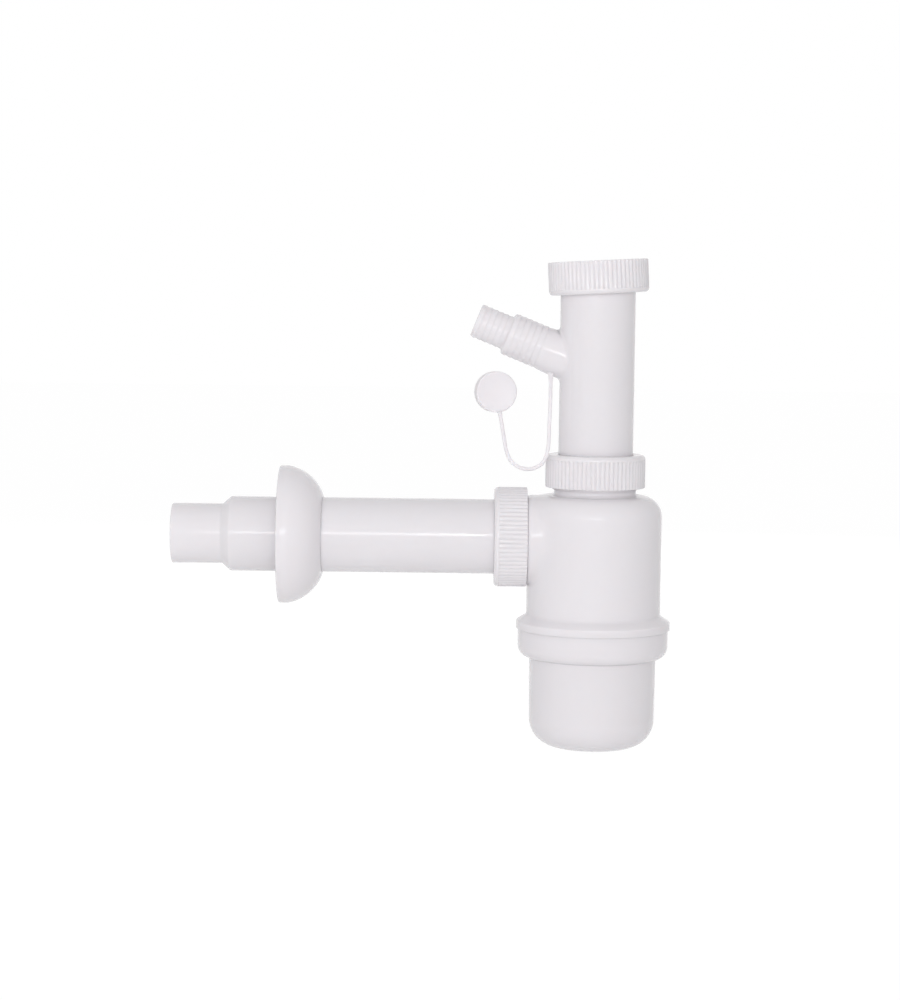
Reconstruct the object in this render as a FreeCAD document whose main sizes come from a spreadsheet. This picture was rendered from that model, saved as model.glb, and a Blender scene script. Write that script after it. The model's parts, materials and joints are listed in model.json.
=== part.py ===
# Bottle trap for a basin: a tail pipe with a barbed hose branch goes down into a bottle
# whose cup unscrews, and a reducing pipe leaves it sideways through a wall rosette.
# Millimetres. +Z is up, the outlet runs towards -X and the front is -Y. The origin is the
# centre of the waste nut's open end.
import FreeCAD, Part
import math
import os
import re

import Sketcher
from FreeCAD import Placement, Rotation, Vector

# Driving sizes: lengths in millimetres, angles in degrees, plain counts.
SIZES = {
    # Pipes
    "pipe_od": 40.0,
    "pipe_wall": 1.8,
    "pipe_edge": 0.6,
    "tail_length": 142.0,
    "tail_show": 85.7,
    "flange_reach": 3.3,
    "flange_thick": 2.0,
    # Hose branch of the tail pipe
    "branch_drop": 45.5,
    "branch_rise": 22.0,
    "branch_od": 24.0,
    "branch_bore": 17.6,
    "branch_blend": 1.8,
    "branch_clear": 0.11,
    "wide_barbs_od": 23.4,
    "wide_barbs_length": 22.0,
    "slim_barbs_od": 18.8,
    "slim_barbs_length": 18.6,
    "slim_bore": 12.8,
    "barb_count": 5,
    "barb_depth": 0.6,
    # Union nuts, three alike
    "nut_wall": 2.8,
    "nut_height": 17.6,
    "nut_lip": 2.5,
    "nut_band": 2.9,
    "nut_shoulder": 2.2,
    "nut_room": 4.5,
    "nut_relief": 0.5,
    "rib_count": 66,
    "rib_depth": 0.65,
    "rib_gap": 1.5,
    # Threaded sockets of the bottle, and what seals them
    "thread_height": 1.65,
    "thread_play": 0.35,
    "thread_length": 12.4,
    "thread_edge": 0.8,
    "socket_wall": 1.6,
    "neck_height": 16.0,
    "outlet_reach": 48.0,
    "outlet_cover": 1.0,
    "outlet_blend": 3.0,
    "seat_flare": 1.9,
    "seat_depth": 5.0,
    "seal_toe": 1.5,
    "seal_collar": 2.0,
    "ring_thick": 1.2,
    # Clearances
    "pipe_play": 0.3,
    "seal_grip": 0.06,
    "face_gap": 0.1,
    # Washer in the waste nut
    "washer_thick": 2.2,
    "washer_inset": 1.5,
    # Bottle housing
    "body_od": 72.0,
    "body_wall": 2.2,
    "body_shoulder": 11.0,
    "dip_length": 98.0,
    "flare_drop": 53.5,
    "flare_height": 3.4,
    "lip_over": 1.0,
    "lip_thick": 4.0,
    "skirt_length": 10.0,
    "skirt_step": 0.8,
    # Cup
    "collar_wall": 3.15,
    "collar_bead": 6.3,
    "collar_height": 15.0,
    "cup_play": 0.35,
    "cup_taper": 0.5,
    "cup_wall": 2.2,
    "cup_depth": 63.4,
    "foot_round": 15.0,
    "cup_seal_thick": 2.2,
    # Outlet pipe
    "outlet_start": 30.0,
    "cone_start": 195.0,
    "cone_length": 4.5,
    "spigot_od": 32.0,
    "outlet_end": 226.4,
    # Wall rosette
    "rosette_od": 73.8,
    "rosette_step": 2.2,
    "rosette_start": 146.0,
    "rosette_depth": 23.0,
    "rosette_rim": 5.0,
    "rosette_round": 24.0,
    "rosette_wall": 1.8,
    "rosette_sleeve": 5.0,
    # Cap for the branch, on its strap
    "strap_gap": 4.8,
    "strap_width": 2.0,
    "strap_depth": 2.6,
    "strap_sunk": 2.2,
    "strap_foot": 4.4,
    "strap_flare": 3.5,
    "strap_tilt": 13.0,
    "strap_forward": 5.0,
    "strap_drop": 41.8,
    "strap_lean": 1.6,
    "strap_bend": 11.2,
    "strap_rise": 20.5,
    "strap_return": 10.0,
    "cap_od": 21.8,
    "cap_wall": 1.3,
    "cap_height": 8.5,
    "cap_edge": 0.5,
    "cap_turn": 10.0,
}

doc = FreeCAD.newDocument("bottle_trap")
sheet = doc.addObject("Spreadsheet::Sheet", "Sizes")


def fill_sheet():
    """Gives every driving size a cell of its own, named by its alias."""
    for row, (name, size) in enumerate(SIZES.items(), start=1):
        sheet.set(f"A{row}", name)
        sheet.set(f"B{row}", str(size))
        sheet.setAlias(f"B{row}", name)
    doc.recompute()


def spell(formula):
    """Turns the names in a formula into references to the sheet's cells."""
    return re.sub(
        r"[a-z]\w+",
        lambda word: f"Sizes.{word[0]}" if word[0] in SIZES else word[0],
        formula,
    )


def number(formula):
    """What a formula comes to now."""
    return float(sheet.evalExpression(spell(formula)))


# Formulas that more than one piece is built on, in the sheet's names.
PIPE_R = "(pipe_od / 2)"
SLEEVE_R = f"({PIPE_R} + pipe_play)"
FLANGE_R = f"({PIPE_R} + flange_reach)"
SOCKET_R = f"({SLEEVE_R} + socket_wall)"
SEAT_R = f"({SLEEVE_R} + seat_flare)"
THREAD_R = f"({SOCKET_R} + thread_height)"
NUT_BORE_R = f"({THREAD_R} + thread_play)"
NUT_ROOM_R = f"({NUT_BORE_R} + nut_relief)"
NUT_R = f"({NUT_BORE_R} + nut_wall)"
SEAL_R = f"({THREAD_R} - face_gap)"
BODY_R = "(body_od / 2)"
BODY_BORE_R = f"({BODY_R} - body_wall)"
LIP_DROP = "(flare_drop + flare_height + body_shoulder)"
SKIRT_TOP = f"({LIP_DROP} + lip_thick)"
SKIRT_END = f"({SKIRT_TOP} + skirt_length)"
OUTLET_DROP = f"({SOCKET_R} + outlet_cover)"
SKIRT_R = f"({BODY_R} + skirt_step)"
CUP_BORE_R = f"({SKIRT_R} + cup_play)"
COLLAR_R = f"({CUP_BORE_R} + collar_wall)"
LIP_R = f"({COLLAR_R} + lip_over)"
CUP_R = f"({COLLAR_R} - collar_bead)"
CUP_LEDGE = "(skirt_length + 2 * face_gap + cup_seal_thick - cup_play)"
CUP_INSIDE_R = f"({CUP_R} - cup_wall)"

# The strap's straight run up ends inside the cap's wall. The cap's centre is beyond it,
# here from the strap's root: across it and upwards.
STRAP_OUT = f"({PIPE_R} + strap_gap)"
STRAP_RUN_UP = "(strap_rise + cap_wall / 2)"
CAP_REACH = "(strap_rise + cap_od / 2)"
LEAN, RETURN = "(strap_lean * 1deg)", "(strap_return * 1deg)"
CAP_ACROSS = (
    f"-sin{LEAN} * strap_drop - (cos{LEAN} + cos{RETURN}) * strap_bend"
    f" - sin{RETURN} * {CAP_REACH}"
)
CAP_UP = (
    f"strap_sunk - cos{LEAN} * strap_drop + (sin{LEAN} - sin{RETURN}) * strap_bend"
    f" + cos{RETURN} * {CAP_REACH}"
)

# Along the branch from the pipe's axis. Its barbs start clear of the round at its root.
RISE = "(branch_rise * 1deg)"
ROOT_END = f"(({PIPE_R} + branch_od / 2 * sin{RISE}) / cos{RISE})"
WIDE_START = f"({ROOT_END} + branch_blend * tan(45deg + {RISE} / 2) + branch_clear)"
SLIM_START = f"({WIDE_START} + wide_barbs_length)"
BRANCH_END = f"({SLIM_START} + slim_barbs_length)"

# Heights, downwards from the origin. The waste nut's lip holds the pipe's flange.
FLANGE_TOP = "(nut_height - nut_lip - face_gap - flange_thick)"
WASHER_TOP = f"({FLANGE_TOP} - washer_thick)"
NECK_NUT_TOP = "(nut_height + tail_show)"
# The way from a union nut's outer face back to the rim of the socket under it.
RIM_BACK = "(nut_lip + 3 * face_gap + ring_thick + seal_collar)"
NECK_RIM = f"({NECK_NUT_TOP} + {RIM_BACK})"
BODY_TOP = f"({NECK_RIM} + neck_height)"
OUTLET_AXIS = f"({BODY_TOP} + {OUTLET_DROP})"

# Steps within a socket's stack, outwards from its rim.
RING_OUT = "(2 * face_gap + seal_collar)"
NUT_BACK = f"({RIM_BACK} - nut_height)"

UP = Rotation()
DOWN = Rotation(Vector(1, 0, 0), 180)
OUTLET_WAY = Rotation(Vector(0, 1, 0), -90)

LEFT, RIGHT = "left", "right"
# How far a point may lie from a surface and still be on it.
ON_SURFACE = 1e-4


def make_body(name, rotation, **places):
    """Starts a body that stands at the given formulas of x, y and z."""
    body = doc.addObject("PartDesign::Body", name)
    body.Label = name
    body.Placement = Placement(Vector(), rotation)
    for axis, formula in places.items():
        body.setExpression(f"Placement.Base.{axis}", spell(formula))
    return body


def attach_sketch(body, name, plane, turn="0", across="0", along="0", lift="0"):
    """Lays a sketch on one of the body's own planes, shifted and turned within it."""
    sketch = body.newObject("Sketcher::SketchObject", name)
    planes = {item.Role: item for item in body.Origin.OriginFeatures}
    sketch.AttachmentSupport = [(planes[plane], "")]
    sketch.MapMode = "FlatFace"
    sketch.AttachmentOffset = Placement(Vector(), Rotation(Vector(0, 0, 1), 1))
    sketch.setExpression("AttachmentOffset.Base.x", spell(across))
    sketch.setExpression("AttachmentOffset.Base.y", spell(along))
    sketch.setExpression("AttachmentOffset.Base.z", spell(lift))
    sketch.setExpression("AttachmentOffset.Rotation.Angle", spell(turn))
    return sketch


def arc_between(start, end, radius, turn):
    """The short arc from start to end, and which of its ends is the start."""
    half = (end - start) / 2
    side = Vector(-half.y, half.x, 0).normalize()
    height = math.sqrt(max(radius**2 - half.Length**2, 0))
    centre = start + half + side * (height if turn == LEFT else -height)
    angles = [math.atan2(spot.y - centre.y, spot.x - centre.x) for spot in (start, end)]
    circle = Part.Circle(centre, Vector(0, 0, 1), radius)
    if turn == LEFT:
        return Part.ArcOfCircle(circle, *angles), 1
    return Part.ArcOfCircle(circle, *reversed(angles)), 2


def pin_point(sketch, piece, end, across, along):
    """Fixes one end of a line or arc at the formulas of its two coordinates."""
    for kind, axis, formula in (("DistanceX", -2, across), ("DistanceY", -1, along)):
        if formula == "0":
            sketch.addConstraint(Sketcher.Constraint("PointOnObject", piece, end, axis))
            continue
        rule = Sketcher.Constraint(kind, -1, 1, piece, end, number(formula))
        sketch.setExpression(f"Constraints[{sketch.addConstraint(rule)}]", spell(formula))


def draw_outline(sketch, corners):
    """Draws a closed outline through corners given as formulas.

    A corner is (across, along) after a straight run, or (across, along, radius, turn)
    after an arc that turns left or right.
    """
    spots = [Vector(number(corner[0]), number(corner[1]), 0) for corner in corners]
    ends = []
    for index, corner in enumerate(corners):
        start, end = spots[index - 1], spots[index]
        if len(corner) == 2:
            piece = sketch.addGeometry(Part.LineSegment(start, end))
            first = 1
        else:
            arc, first = arc_between(start, end, number(corner[2]), corner[3])
            piece = sketch.addGeometry(arc)
            rule = Sketcher.Constraint("Radius", piece, number(corner[2]))
            sketch.setExpression(f"Constraints[{sketch.addConstraint(rule)}]", spell(corner[2]))
        pin_point(sketch, piece, 3 - first, corner[0], corner[1])
        ends.append((piece, first))
    for index, (piece, first) in enumerate(ends):
        before, its_first = ends[index - 1]
        sketch.addConstraint(
            Sketcher.Constraint("Coincident", before, 3 - its_first, piece, first)
        )


def settle(body, feature, adds):
    """Recomputes and makes sure that the feature added or took away material."""
    before = 0 if body.Shape.isNull() else body.Shape.Volume
    body.Tip = feature
    doc.recompute()
    change = body.Shape.Volume - before
    if (change > 0) != adds or change == 0:
        raise RuntimeError(f"{feature.Name} changed the volume by {change:.3f}")
    return feature


def revolve(body, name, corners, adds=True, plane="XZ_Plane", **offset):
    """Turns an outline of (radius, along) corners about its own upright axis."""
    sketch = attach_sketch(body, f"{name}_outline", plane, **offset)
    draw_outline(sketch, corners)
    kind = "PartDesign::Revolution" if adds else "PartDesign::Groove"
    feature = body.newObject(kind, name)
    feature.Profile = sketch
    feature.ReferenceAxis = (sketch, ["V_Axis"])
    feature.Angle = 360
    return settle(body, feature, adds)


def make_nut(name, rotation, **places):
    """Union nut: its open end is at its own origin, its lip at the far end."""
    nut = make_body(name, rotation, **places)
    lip = "(nut_height - nut_lip)"
    room = f"({lip} - nut_room)"
    shell = [
        (NUT_BORE_R, "0"),
        (f"{NUT_R} - pipe_edge", "0"),
        (NUT_R, "pipe_edge"),
        (NUT_R, "nut_height - nut_shoulder"),
        (f"{NUT_R} - nut_shoulder", "nut_height", "nut_shoulder", LEFT),
        (SLEEVE_R, "nut_height"),
        (SLEEVE_R, lip),
        (NUT_ROOM_R, lip),
        (NUT_ROOM_R, room),
        (NUT_BORE_R, f"{room} - nut_relief"),
    ]
    revolve(nut, f"{name}_shell", shell)
    notch = attach_sketch(nut, f"{name}_notch_outline", "XY_Plane")
    draw_outline(
        notch,
        [
            (f"{NUT_R} - rib_depth", "0"),
            (f"{NUT_R} + rib_depth", "-rib_gap"),
            (f"{NUT_R} + rib_depth", "rib_gap"),
        ],
    )
    cut = nut.newObject("PartDesign::Pocket", f"{name}_notch")
    cut.Profile = notch
    cut.Reversed = True
    cut.setExpression("Length", spell("nut_height - nut_band"))
    settle(nut, cut, adds=False)
    ribs = nut.newObject("PartDesign::PolarPattern", f"{name}_ribs")
    ribs.Originals = [cut]
    ribs.Axis = (notch, ["N_Axis"])
    ribs.Angle = 360
    ribs.setExpression("Occurrences", spell("rib_count"))
    settle(nut, ribs, adds=False)
    return nut


def make_slip_ring(name, rotation, **places):
    """Thin flat ring between a union nut's lip and its rubber seal."""
    ring = make_body(name, rotation, **places)
    section = [
        (SLEEVE_R, "0"),
        (SEAL_R, "0"),
        (SEAL_R, "ring_thick"),
        (SLEEVE_R, "ring_thick"),
    ]
    revolve(ring, f"{name}_section", section)
    return ring


def make_seal(name, rotation, **places):
    """Rubber ring: a flat collar above the socket's rim and a cone down in its seat."""
    seal = make_body(name, rotation, **places)
    bore = f"{PIPE_R} + seal_grip"
    slope = "seat_flare / seat_depth"
    section = [
        (bore, "seal_toe - seat_depth"),
        (f"{SLEEVE_R} + {slope} * seal_toe - 2 * face_gap", "seal_toe - seat_depth"),
        (f"{SEAT_R} - 2 * face_gap", "0"),
        (SEAL_R, "0"),
        (SEAL_R, "seal_collar"),
        (bore, "seal_collar"),
    ]
    revolve(seal, f"{name}_section", section)
    return seal


def make_washer():
    """Flat rubber ring that lies on the tail pipe's flange."""
    washer = make_body("waste_washer", DOWN, z=f"-{WASHER_TOP}")
    hole = f"{PIPE_R} - washer_inset"
    section = [(hole, "0"), (FLANGE_R, "0"), (FLANGE_R, "washer_thick"), (hole, "washer_thick")]
    revolve(washer, "waste_washer_section", section)
    return washer


def barbs(start, length, diameter):
    """Corners of a run of barbs: each widens slowly from the tip's side to its edge."""
    step = f"({length} / barb_count)"
    corners = []
    for barb in range(SIZES["barb_count"]):
        corners.append((f"{diameter} / 2", f"{start} + {barb} * {step}"))
        corners.append((f"{diameter} / 2 - barb_depth", f"{start} + {barb + 1} * {step}"))
    return corners


def crossing_edges(shape, start, way, radius):
    """Names of the edges where something grows out of a round pipe of that radius.

    They lie on the pipe all along, and are neither its straight seam nor a round edge.
    """
    names = []
    for index, edge in enumerate(shape.Edges, start=1):
        if isinstance(edge.Curve, (Part.Line, Part.Circle)):
            continue
        off = [spot.distanceToLine(start, way) for spot in edge.discretize(Number=5)]
        if max(abs(distance - radius) for distance in off) < ON_SURFACE:
            names.append(f"Edge{index}")
    return names


def blend(body, feature, names, radius):
    """Rounds a hollow corner with a fillet."""
    fillet = body.newObject("PartDesign::Fillet", f"{feature.Name}_blend")
    fillet.Base = (feature, names)
    fillet.setExpression("Radius", spell(radius))
    return settle(body, fillet, adds=True)


def make_tail_moulding():
    """Flanged pipe with its stepped, barbed hose branch."""
    pipe = make_body("tail_moulding", UP, z=f"-{FLANGE_TOP}")
    outside = [
        ("0", "0"),
        (FLANGE_R, "0"),
        (FLANGE_R, "-flange_thick"),
        (PIPE_R, "-flange_thick"),
        (PIPE_R, "pipe_edge - tail_length"),
        (f"{PIPE_R} - pipe_edge", "-tail_length"),
        ("0", "-tail_length"),
    ]
    revolve(pipe, "tail_outside", outside)
    along = {"turn": "90 - branch_rise", "along": "-branch_drop"}
    branch_outside = [("0", "0"), ("branch_od / 2", "0"), ("branch_od / 2", WIDE_START)]
    branch_outside += barbs(WIDE_START, "wide_barbs_length", "wide_barbs_od")
    branch_outside += barbs(SLIM_START, "slim_barbs_length", "slim_barbs_od")
    branch_outside.append(("0", BRANCH_END))
    branch = revolve(pipe, "branch_outside", branch_outside, **along)
    root = crossing_edges(branch.Shape, Vector(), Vector(0, 0, 1), number(PIPE_R))
    blend(pipe, branch, root, "branch_blend")
    bore = f"{PIPE_R} - pipe_wall"
    tail_bore = [
        ("0", "pipe_wall"),
        (bore, "pipe_wall"),
        (bore, "-tail_length - pipe_wall"),
        ("0", "-tail_length - pipe_wall"),
    ]
    revolve(pipe, "tail_bore", tail_bore, adds=False)
    branch_bore = [
        ("0", "0"),
        ("branch_bore / 2", "0"),
        ("branch_bore / 2", f"{SLIM_START} - (branch_bore - slim_bore) / 2"),
        ("slim_bore / 2", SLIM_START),
        ("slim_bore / 2", f"{BRANCH_END} + pipe_wall"),
        ("0", f"{BRANCH_END} + pipe_wall"),
    ]
    revolve(pipe, "branch_bore", branch_bore, adds=False, **along)
    return pipe


def part_tail(moulding):
    """Parts the moulding at the pipe's outer wall into the pipe and its branch."""
    core = make_body("tail_core", UP, z=f"-{FLANGE_TOP}")
    over, under = "pipe_wall", "-tail_length - pipe_wall"
    section = [
        ("0", over),
        (f"{FLANGE_R} + pipe_wall", over),
        (f"{FLANGE_R} + pipe_wall", "-flange_thick"),
        (PIPE_R, "-flange_thick"),
        (PIPE_R, under),
        ("0", under),
    ]
    revolve(core, "tail_core_section", section)
    pieces = []
    for kind, name in (("Part::Common", "tail_pipe"), ("Part::Cut", "hose_branch")):
        piece = doc.addObject(kind, name)
        piece.Base = moulding
        piece.Tool = core
        piece.Label = name
        pieces.append(piece)
    return pieces


def draw_strap_path(path):
    """The strap's centre line: down, round a half turn and up to the cap's wall."""
    lean = math.radians(number("strap_lean"))
    back = math.radians(number("strap_return"))
    drop = number("strap_drop")
    bend = number("strap_bend")
    rise = number(STRAP_RUN_UP)
    low = Vector(-math.sin(lean), -math.cos(lean), 0) * drop
    centre = low + Vector(-math.cos(lean), math.sin(lean), 0) * bend
    turned = centre + Vector(-math.cos(back), -math.sin(back), 0) * bend
    high = turned + Vector(-math.sin(back), math.cos(back), 0) * rise
    circle = Part.Circle(centre, Vector(0, 0, 1), bend)
    down_run = path.addGeometry(Part.LineSegment(Vector(), low))
    loop = path.addGeometry(Part.ArcOfCircle(circle, math.pi + back, 2 * math.pi - lean))
    up_run = path.addGeometry(Part.LineSegment(turned, high))
    path.addConstraint(Sketcher.Constraint("Coincident", down_run, 1, -1, 1))
    path.addConstraint(Sketcher.Constraint("Tangent", down_run, 2, loop, 2))
    path.addConstraint(Sketcher.Constraint("Tangent", loop, 1, up_run, 1))
    rules = (
        (Sketcher.Constraint("Distance", down_run, drop), "strap_drop"),
        (Sketcher.Constraint("Angle", down_run, -math.pi / 2 - lean), "(-90 - strap_lean) * 1deg"),
        (Sketcher.Constraint("Radius", loop, bend), "strap_bend"),
        (Sketcher.Constraint("Distance", up_run, rise), STRAP_RUN_UP),
        (Sketcher.Constraint("Angle", up_run, math.pi / 2 + back), "(90 + strap_return) * 1deg"),
    )
    for rule, formula in rules:
        path.setExpression(f"Constraints[{path.addConstraint(rule)}]", spell(formula))


def strap_slice(cap, name, width, lift):
    """A cross-section of the strap, level at the given height."""
    section = attach_sketch(cap, name, "XY_Plane", lift=lift)
    half_width, half_depth = f"{width} / 2", "strap_depth / 2"
    corners = [
        (f"-{half_width}", f"-{half_depth}"),
        (half_width, f"-{half_depth}"),
        (half_width, half_depth),
        (f"-{half_width}", half_depth),
    ]
    draw_outline(section, corners)
    return section


def make_cap(tail):
    """Cap and strap, one soft moulding. The strap's foot is shaped to the branch it grips."""
    under = f"(branch_od / 2 / cos{RISE})"
    root = f"(branch_drop + {FLANGE_TOP} - {STRAP_OUT} * tan{RISE} + {under})"
    forward = Rotation(Vector(-1, 0, 0), 1)
    cap = make_body("cap_moulding", forward, x=f"-{STRAP_OUT}", y="-strap_forward", z=f"-{root}")
    cap.setExpression("Placement.Rotation.Angle", spell("strap_tilt"))

    path = attach_sketch(cap, "strap_path", "XZ_Plane", along="strap_sunk")
    draw_strap_path(path)
    strap = cap.newObject("PartDesign::AdditivePipe", "strap")
    strap.Profile = strap_slice(cap, "strap_section", "strap_width", "strap_sunk")
    strap.Spine = path
    settle(cap, strap, adds=True)
    foot = cap.newObject("PartDesign::AdditiveLoft", "strap_root")
    foot.Profile = strap_slice(cap, "foot_top", "strap_foot", "strap_sunk")
    foot.Sections = [strap_slice(cap, "foot_bottom", "strap_width", "-strap_flare")]
    settle(cap, foot, adds=True)

    front = "strap_depth / 2"
    radius = "cap_od / 2"
    shell = [
        ("0", f"-{front}"),
        (f"{radius} - cap_edge", f"-{front}"),
        (radius, f"cap_edge - {front}"),
        (radius, f"cap_height - {front}"),
        (f"{radius} - cap_wall", f"cap_height - {front}"),
        (f"{radius} - cap_wall", f"cap_wall - {front}"),
        ("0", f"cap_wall - {front}"),
    ]
    place = {"turn": "cap_turn", "across": CAP_ACROSS, "lift": CAP_UP}
    revolve(cap, "cap_shell", shell, plane="XY_Plane", **place)

    fitted = doc.addObject("Part::Cut", "nozzle_cap")
    fitted.Base = cap
    fitted.Tool = tail
    fitted.Label = "nozzle_cap"
    return fitted


def socket_outline(reach):
    """Outside of a threaded socket that ends at the given reach."""
    return [
        ("0", "0"),
        (SOCKET_R, "0"),
        (SOCKET_R, f"{reach} - thread_length - thread_edge"),
        (THREAD_R, f"{reach} - thread_length"),
        (THREAD_R, f"{reach} - thread_edge"),
        (f"{THREAD_R} - thread_edge", reach),
        ("0", reach),
    ]


def socket_bore(start, reach):
    """Inside of a socket: a pipe's way in, with a cone at the rim that seats the seal."""
    return [
        ("0", start),
        (SLEEVE_R, start),
        (SLEEVE_R, f"{reach} - seat_depth"),
        (SEAT_R, reach),
        (SEAT_R, f"{reach} + seat_depth"),
        ("0", f"{reach} + seat_depth"),
    ]


def make_trap_body():
    """Bottle housing with its neck, outlet socket, lip and threaded skirt, one moulding."""
    body = make_body("trap_body", UP, z=f"-{BODY_TOP}")
    housing = [
        ("0", "0"),
        (f"{BODY_R} - body_shoulder", "0"),
        (BODY_R, "-body_shoulder", "body_shoulder", RIGHT),
        (BODY_R, "-body_shoulder - flare_drop"),
        (LIP_R, f"-{LIP_DROP}"),
        (LIP_R, f"-{SKIRT_TOP}"),
        (SKIRT_R, f"-{SKIRT_TOP}"),
        (SKIRT_R, f"thread_edge - {SKIRT_END}"),
        (f"{SKIRT_R} - thread_edge", f"-{SKIRT_END}"),
        ("0", f"-{SKIRT_END}"),
    ]
    revolve(body, "housing_outside", housing)
    revolve(body, "neck_outside", socket_outline("neck_height"))
    sideways = {"turn": "90", "along": f"-{OUTLET_DROP}"}
    outlet = revolve(body, "outlet_outside", socket_outline("outlet_reach"), **sideways)
    axis_start = Vector(0, 0, -number(OUTLET_DROP))
    root = crossing_edges(outlet.Shape, axis_start, Vector(1, 0, 0), number(SOCKET_R))
    blend(body, outlet, root, "outlet_blend")

    round_inside = "(body_shoulder - body_wall)"
    cavity = [
        ("0", "-body_wall"),
        (f"{BODY_BORE_R} - {round_inside}", "-body_wall"),
        (BODY_BORE_R, "-body_shoulder", round_inside, RIGHT),
        (BODY_BORE_R, f"-{SKIRT_END} - body_wall"),
        ("0", f"-{SKIRT_END} - body_wall"),
    ]
    revolve(body, "cavity", cavity, adds=False)
    neck_bore = socket_bore("-2 * body_wall", "neck_height")
    revolve(body, "neck_bore", neck_bore, adds=False)
    # The outlet's bore starts just inside the housing's wall.
    inside = f"(sqrt({BODY_BORE_R} ^ 2 - {SLEEVE_R} ^ 2) - body_wall)"
    outlet_bore = socket_bore(inside, "outlet_reach")
    revolve(body, "outlet_bore", outlet_bore, adds=False, **sideways)
    return body


def make_dip_tube():
    """Tube under the housing's neck that carries the water down into the cup."""
    tube = make_body("dip_tube", UP, z=f"-{BODY_TOP}")
    section = [
        (SLEEVE_R, "-dip_length"),
        (SOCKET_R, "-dip_length"),
        (SOCKET_R, "-body_wall"),
        (SLEEVE_R, "-body_wall"),
    ]
    revolve(tube, "dip_tube_section", section)
    return tube


def make_cup():
    """Bowl under the housing: a collar that screws on, a ledge for the seal, a round foot."""
    cup = make_body("cup", UP, z=f"-{BODY_TOP} - {SKIRT_TOP} - cup_play")
    foot_r = f"({CUP_R} - cup_taper)"
    foot_inside = "(foot_round - cup_wall)"
    section = [
        (CUP_BORE_R, "0"),
        (f"{COLLAR_R} - pipe_edge", "0"),
        (COLLAR_R, "-pipe_edge"),
        (COLLAR_R, "collar_bead - collar_height"),
        (CUP_R, "-collar_height", "collar_bead", RIGHT),
        (foot_r, "foot_round - cup_depth"),
        (f"{foot_r} - foot_round", "-cup_depth", "foot_round", RIGHT),
        ("0", "-cup_depth"),
        ("0", "cup_wall - cup_depth"),
        (f"{foot_r} - foot_round", "cup_wall - cup_depth"),
        (f"{foot_r} - cup_wall", "foot_round - cup_depth", foot_inside, LEFT),
        (CUP_INSIDE_R, "-collar_height"),
        (CUP_INSIDE_R, f"-{CUP_LEDGE}"),
        (CUP_BORE_R, f"-{CUP_LEDGE}"),
    ]
    revolve(cup, "cup_section", section)
    return cup


def make_cup_seal():
    """Flat rubber ring on the cup's ledge, under the housing's lower edge."""
    seal = make_body("cup_seal", UP, z=f"-{BODY_TOP} - {SKIRT_END} - face_gap - cup_seal_thick")
    section = [
        (f"{CUP_INSIDE_R} + cup_play", "0"),
        (SKIRT_R, "0"),
        (SKIRT_R, "cup_seal_thick"),
        (f"{CUP_INSIDE_R} + cup_play", "cup_seal_thick"),
    ]
    revolve(seal, "cup_seal_section", section)
    return seal


def make_outlet_pipe():
    """Pipe that leaves the bottle and narrows by a short cone to a smaller spigot."""
    pipe = make_body("outlet_pipe", OUTLET_WAY, z=f"-{OUTLET_AXIS}")
    spigot_r = "spigot_od / 2"
    cone_end = "cone_start + cone_length"
    section = [
        (f"{PIPE_R} - pipe_wall", "outlet_start"),
        (f"{PIPE_R} - pipe_edge", "outlet_start"),
        (PIPE_R, "outlet_start + pipe_edge"),
        (PIPE_R, "cone_start"),
        (spigot_r, cone_end),
        (spigot_r, "outlet_end - pipe_edge"),
        (f"{spigot_r} - pipe_edge", "outlet_end"),
        (f"{spigot_r} - pipe_wall", "outlet_end"),
        (f"{spigot_r} - pipe_wall", cone_end),
        (f"{PIPE_R} - pipe_wall", "cone_start"),
    ]
    revolve(pipe, "outlet_section", section)
    return pipe


def make_rosette():
    """Domed wall cover, open to the wall, with a short sleeve that slides on the pipe."""
    rosette = make_body("wall_rosette", OUTLET_WAY, z=f"-{OUTLET_AXIS}")
    rim_r = "(rosette_od / 2)"
    rim_start = "rosette_start + rosette_depth - rosette_rim"
    sleeve_outside = f"{SLEEVE_R} + rosette_wall"
    section = [
        (SLEEVE_R, "rosette_start"),
        (f"{SLEEVE_R} + rosette_step", "rosette_start"),
        (rim_r, rim_start, "rosette_round", LEFT),
        (rim_r, "rosette_start + rosette_depth"),
        (f"{rim_r} - rosette_wall", "rosette_start + rosette_depth"),
        (f"{rim_r} - rosette_wall", rim_start),
        (sleeve_outside, "rosette_start + rosette_wall", "rosette_round - rosette_wall", RIGHT),
        (sleeve_outside, "rosette_start + rosette_sleeve"),
        (SLEEVE_R, "rosette_start + rosette_sleeve"),
    ]
    revolve(rosette, "rosette_section", section)
    return rosette


def make_parts():
    """Every piece of the trap, in its place."""
    tail = make_tail_moulding()
    outlet = {"z": f"-{OUTLET_AXIS}"}
    return [
        make_nut("waste_nut", DOWN, z="0"),
        make_washer(),
        *part_tail(tail),
        make_cap(tail),
        make_nut("neck_nut", UP, z=f"-{NECK_NUT_TOP} - nut_height"),
        make_slip_ring("neck_slip_ring", UP, z=f"{RING_OUT} - {NECK_RIM}"),
        make_seal("neck_seal", UP, z=f"face_gap - {NECK_RIM}"),
        make_trap_body(),
        make_dip_tube(),
        make_cup_seal(),
        make_cup(),
        make_nut("outlet_nut", OUTLET_WAY, x=f"-outlet_reach - {NUT_BACK}", **outlet),
        make_slip_ring("outlet_slip_ring", OUTLET_WAY, x=f"-outlet_reach - {RING_OUT}", **outlet),
        make_seal("outlet_seal", OUTLET_WAY, x="-outlet_reach - face_gap", **outlet),
        make_outlet_pipe(),
        make_rosette(),
    ]


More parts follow.
